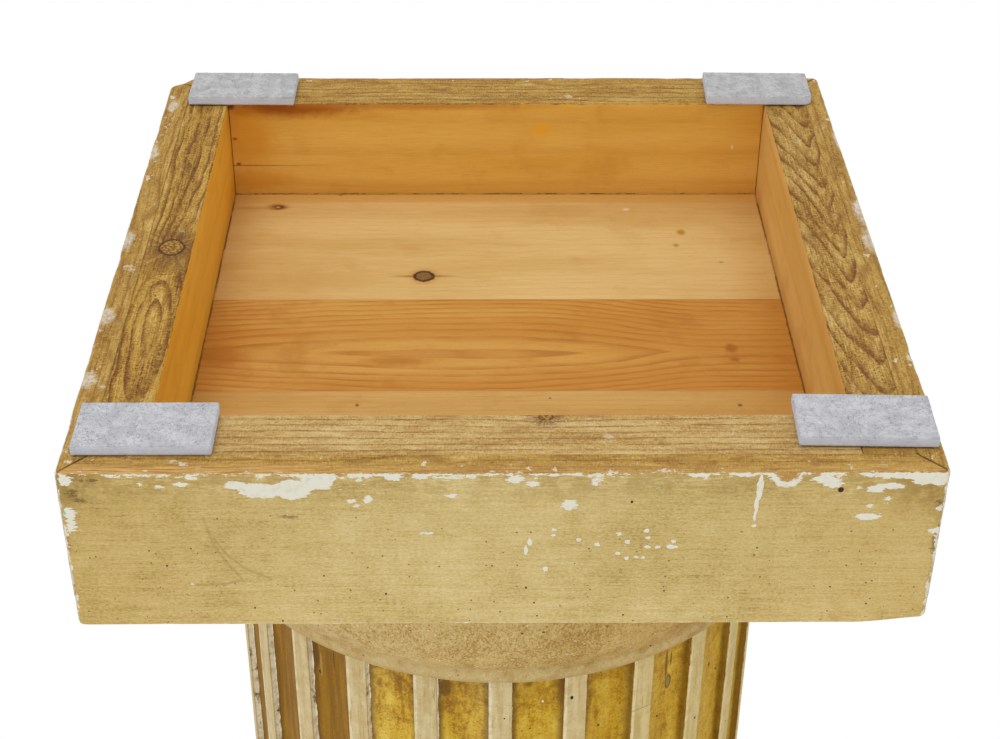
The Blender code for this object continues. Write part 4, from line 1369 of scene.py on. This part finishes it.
def shaftFinish(v):
    f = Finish("creamFilletsGoldFlutes")
    place = f.place()
    x, y, z = f.split(place)
    pitch = 2 * math.pi / v["flutes"]
    around = f.math("WRAP", f.math("ARCTAN2", x, y * -1.0), 2 * math.pi, 0.0)
    number = f.math("FLOOR", around / pitch)
    fromMiddle = f.math("WRAP", around, pitch / 2, -pitch / 2)
    offCentre = abs(fromMiddle) * shaftRadius
    arc = around * shaftRadius
    drawn = f.stretched(place, (0.003, 0.003, 0.040), 4.0, 0.6)
    mottled = f.noise(place, 150.0, 4.0, 0.7)
    broad = f.noise(place, 38.0, 4.0, 0.6)
    fine = f.noise(place, 900.0, 3.0, 0.75)

    ragged = f.stretched(place, (0.005, 0.005, 0.009), 4.0, 0.6) - 0.5
    wavy = ragged * 0.0026 + offCentre
    onFillet = f.span(wavy, v["filletWidth"] / 2 + 0.0001, v["filletWidth"] / 2 + 0.0004, 1.0, 0.0)
    depth = f.attribute("depth")
    creamWall = fromMiddle < 0.0
    creamDepth = creamWall * (v["wallDepth"] * 1.3) + (ragged * 0.0012 + 0.0004)
    onFillet = onFillet * (depth < creamDepth)
    tone = drawn * 0.7 + (mottled * 0.5 + fine * 0.5)
    cream = f.over(v["creamDark"], v["cream"], tone, 0.68, 1.0)
    cream = f.over(cream, (0.36, 0.23, 0.075), fine, 0.56, 0.74, 0.4)
    whiter = f.most(f.span(depth, 0.0004, 0.001), f.span(fromMiddle, 0.026, 0.031, 0.0, 0.45))
    cream = f.mix(whiter * f.span(mottled, 0.35, 0.6, 0.3, 0.8), cream, (0.98, 0.92, 0.7))
    cream = f.mix(f.span(x, 0.0, -0.10, 0.0, 0.8), cream, (1.02, 0.99, 0.76), "MULTIPLY")
    grime = f.stretched(place, (0.0010, 0.0010, 0.020), 4.0, 0.6)
    grime = f.span(grime, 0.57, 0.66, 0.0, 0.7) * f.span(broad, 0.42, 0.6)
    grime = grime * f.span(depth, 0.0008, 0.0003)
    cream = f.mix(grime, cream, (0.33, 0.21, 0.07))
    across = f.span(f.stretched(place, (0.012, 0.012, 0.0006), 3.0), 0.66, 0.72, 0.0, 0.5)
    cream = f.mix(across, cream, (0.38, 0.25, 0.09))

    upright = f.stretched(place, (0.007, 0.007, 0.032), 5.0, 0.68)
    tone = upright * 0.95 + (mottled * 0.45 + fine * 0.55)
    gold = f.ramp(f.span(tone, 0.80, 1.16, smooth=False),
                  ((0.0, v["goldDark"]), (0.40, v["gold"]), (1.0, v["goldLight"])))
    flecks = f.span(f.noise(place, 620.0, 4.0, 0.75), 0.54, 0.64, 0.0, 0.6)
    gold = f.mix(flecks, gold, (0.21, 0.095, 0.006))
    cracked = f.noise(place, 170.0, 3.0, 0.6, 1.0)
    cracked = f.span(abs(cracked - 0.5), 0.0, 0.01, 0.55, 0.0)
    gold = f.mix(cracked * f.span(broad, 0.48, 0.6), gold, (0.18, 0.075, 0.006))
    # Dirt and painted shade: the gold darkens towards the base collar's band, in the shade of its overhang
    topDirtAndShade = (mottled - 0.5) * 0.1 + (z - bandTop)
    gold = f.over(gold, (0.265, 0.122, 0.006), topDirtAndShade, 0.044, 0.004, 0.7)
    gold = f.over(gold, (0.095, 0.04, 0.006), topDirtAndShade, 0.018, -0.006, 0.85)
    tone = drawn * 0.8 + fine * 0.4
    brown = f.over(v["brownDark"], v["brown"], tone, 0.5, 0.74)
    tint = f.node("ShaderNodeTexWhiteNoise", {"W": number + 3.7}, noise_dimensions="1D")
    gold = f.mix(f.span(tint, 0.0, 1.0, 0.0, 0.25, smooth=False), gold, (0.33, 0.175, 0.012))
    # Painted shade: the flutes darken towards the -X side of the shaft
    gold = f.over(gold, (0.4, 0.19, 0.003), x, 0.02, -0.06, 0.34)
    for flute in v["brownFlutes"]:
        gold = f.mix(f.math("COMPARE", number, float(flute), 0.3), gold, brown)
    wall = v["filletWidth"] / 2
    # Dirt and painted shade: the flute floor darkens beside each fillet wall, more beside the cream walls
    beside = ragged * 0.004 + offCentre
    besideShare = creamWall * 0.15 + 0.58
    besideShare = f.span(beside, wall + 0.0042, wall + 0.0002) * besideShare
    gold = f.mix(besideShare, gold, (0.125, 0.055, 0.008))
    colour = f.mix(onFillet, gold, cream)
    for (px, py), markDepth, radii, colourHere, strength in v["marks"]:
        away = ovalField(f, f.join(arc, z, 0.0), [(onShaft(px, py, markDepth), radii)], (0, 1))
        away = ragged * 0.8 + away
        colour = f.over(colour, colourHere, away, 1.15, 0.75, strength)
    holes = wormHoles(f, arc, z, 0.012, 0.0005, 0.10)
    colour = f.mix(holes, colour, (0.04, 0.02, 0.008))
    normal = f.bump(mottled * 0.6 + fine * 0.4, 0.0003, 0.9)
    roughness = f.mix(onFillet, (0.42, 0.42, 0.42), (0.58, 0.58, 0.58))
    return f.finish(colour, roughness, normal, Specular_IOR_Level=0.10)


def flutedShaft(v):
    low, high = shaftBox
    tree = flutedTree(v, low.z, high.z, shaftFinish(v))
    source = intoScene("shaftSource", bpy.data.meshes.new("shaftSource"))
    piece = throughTree(source, tree, {}, "fluted_column")
    shell = bmesh.new()
    shell.from_mesh(piece.data)
    weldDistance = 0.02 * mm
    bmesh.ops.remove_doubles(shell, verts=shell.verts, dist=weldDistance)
    bmesh.ops.holes_fill(shell, edges=[e for e in shell.edges if e.is_boundary], sides=0)
    bmesh.ops.recalc_face_normals(shell, faces=shell.faces)
    shell.to_mesh(piece.data)
    shell.free()
    piece.data.shade_smooth()
    piece.data.set_sharp_from_angle(angle=math.radians(35))
    dress(piece, "fillet_paint", "fluted_shaft")


flutedShaft(shaftLook)
print("Pedestal: shaft")


# Top board: a plain square with rounded edges, painted like the rest
topShape = {"edgeRadius": 5.0 * mm, "cornerRadius": 9.0 * mm, "cell": 3.0 * mm, "unevenness": 0.4 * mm}


def topFinish():
    f = Finish("paintedTop")
    place = f.place()
    x, y, z = f.split(place)
    colour, relief = agedPaint(f, place, facingLook, 5.0)
    ragged = f.noise(place, 120.0, 4.0, 0.65)
    reach = f.most(abs(x), abs(y))
    edge = plinthHalf - reach
    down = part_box("top_board")[1].z - z
    worn = (ragged - 0.5) * 0.016 + (edge + down)
    colour = f.over(colour, facingLook["ground"], worn, 0.0022, 0.0016)
    normal = f.bump(relief, 0.00022, 0.8)
    return f.finish(colour, 0.55, normal, Specular_IOR_Level=0.14)


def topBoard(v):
    low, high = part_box("top_board")
    half, thick, radius = high.x, high.z - low.z, v["edgeRadius"]
    corner = v["cornerRadius"]
    section = []
    for i in range(6):
        turn = math.pi / 2 * i / 5
        section.append((radius * (1 - math.sin(turn)), radius * (1 - math.cos(turn))))
    levels = round((thick - 2 * radius) / v["cell"])
    section += [(0.0, radius + (thick - 2 * radius) * i / levels) for i in range(1, levels)]
    section += [(inset, thick - rise) for inset, rise in reversed(section[:6])]
    inward = [radius + s for s in np.linspace(0, half - corner - radius, 12)[1:]]
    section = [(inset, 0.0) for inset in reversed(inward)] + section + [(inset, thick) for inset in inward]
    plan = []
    straight = round(2 * (half - corner) / v["cell"])
    for side in range(4):
        turn = Matrix.Rotation(side * math.pi / 2, 2)
        points = [Vector((-(half - corner) + 2 * (half - corner) * i / straight,
                          -half)) for i in range(straight)]
        for i in range(6):
            angle = math.pi / 2 * i / 6
            points.append(Vector((half - corner + corner * math.sin(angle),
                                  -half + corner * (1 - math.cos(angle)))))
        plan += [turn @ p for p in points]
    plan = np.array([tuple(p) for p in plan])
    verts = np.vstack([np.column_stack([plan * (half - inset) / half,
                                        np.full(len(plan), low.z + rise)]) for inset, rise in section])
    outward = verts - [0, 0, (low.z + high.z) / 2]
    uneven = dents(verts, 0.05, 91, v["unevenness"])
    inner = np.abs(outward) > np.array([half, half, thick / 2]) - 1.2 * radius
    verts -= np.sign(outward) * inner * uneven[:, None]
    faces = gridQuads(len(section), len(plan), True) + endCaps(len(section), len(plan))
    dress(addPiece("square_top", verts, faces, [topFinish()]), "collar_paint", "top_board")


topBoard(topShape)
print("Pedestal: top board")


# Floor: pale, and seen through from below, because the picture looks up at the pedestal's underside
studio = {"floorSize": 6.0, "floorColour": (0.82, 0.82, 0.82), "fill": 0.88}


def floor(v):
    f = Finish("paleFloor")
    f.finish(v["floorColour"], 0.8)
    clear = f.node("ShaderNodeBsdfTransparent")
    back = f.node("ShaderNodeNewGeometry", output="Backfacing")
    both = f.node("ShaderNodeMixShader", {0: back, 1: Signal(f, f.shader.outputs[0]), 2: clear})
    f.feed(f.tree.nodes["Material Output"].inputs["Surface"], both)
    h = v["floorSize"] / 2
    mesh = bpy.data.meshes.new("floor")
    mesh.from_pydata([(-h, -h, 0), (h, -h, 0), (h, h, 0), (-h, h, 0)], [], [(0, 1, 2, 3)])
    mesh.materials.append(f.material)
    made = intoScene("floor", mesh)
    made.visible_diffuse = False
    made.visible_glossy = False
    made.visible_shadow = False


def surround(v):
    world = bpy.data.worlds.new("surround")
    bpy.context.scene.world = world
    world.use_nodes = True
    w = Nodes(world.node_tree)
    fill = w.tree.nodes["Background"]
    w.feed(fill.inputs["Color"], (1, 1, 1))
    w.feed(fill.inputs["Strength"], v["fill"])
    seen = w.node("ShaderNodeBackground", {"Color": (1, 1, 1)})
    direct = w.node("ShaderNodeLightPath", output="Is Camera Ray")
    both = w.node("ShaderNodeMixShader", {0: direct, 1: Signal(w, fill.outputs[0]), 2: seen})
    w.feed(w.tree.nodes["World Output"].inputs["Surface"], both)


def softLight(name, place, target, size, watts):
    data = bpy.data.lights.new(name, "AREA")
    data.shape = "DISK"
    data.size = size
    data.energy = watts
    made = intoScene(name, data)
    direction = Vector(target) - Vector(place)
    made.matrix_world = Matrix.Translation(place) @ direction.to_track_quat("-Z", "Y").to_matrix().to_4x4()
    made.visible_camera = False


floor(studio)
surround(studio)
softLight("underLight", (0.35, -0.35, -1.9), (0, 0, 0.1), 1.0, 9)
softLight("upperLight", (1.1, -1.8, 2.2), (0, 0, 0.6), 1.2, 17)
bpy.context.scene.view_settings.view_transform = "Standard"
print("Pedestal: floor and light")
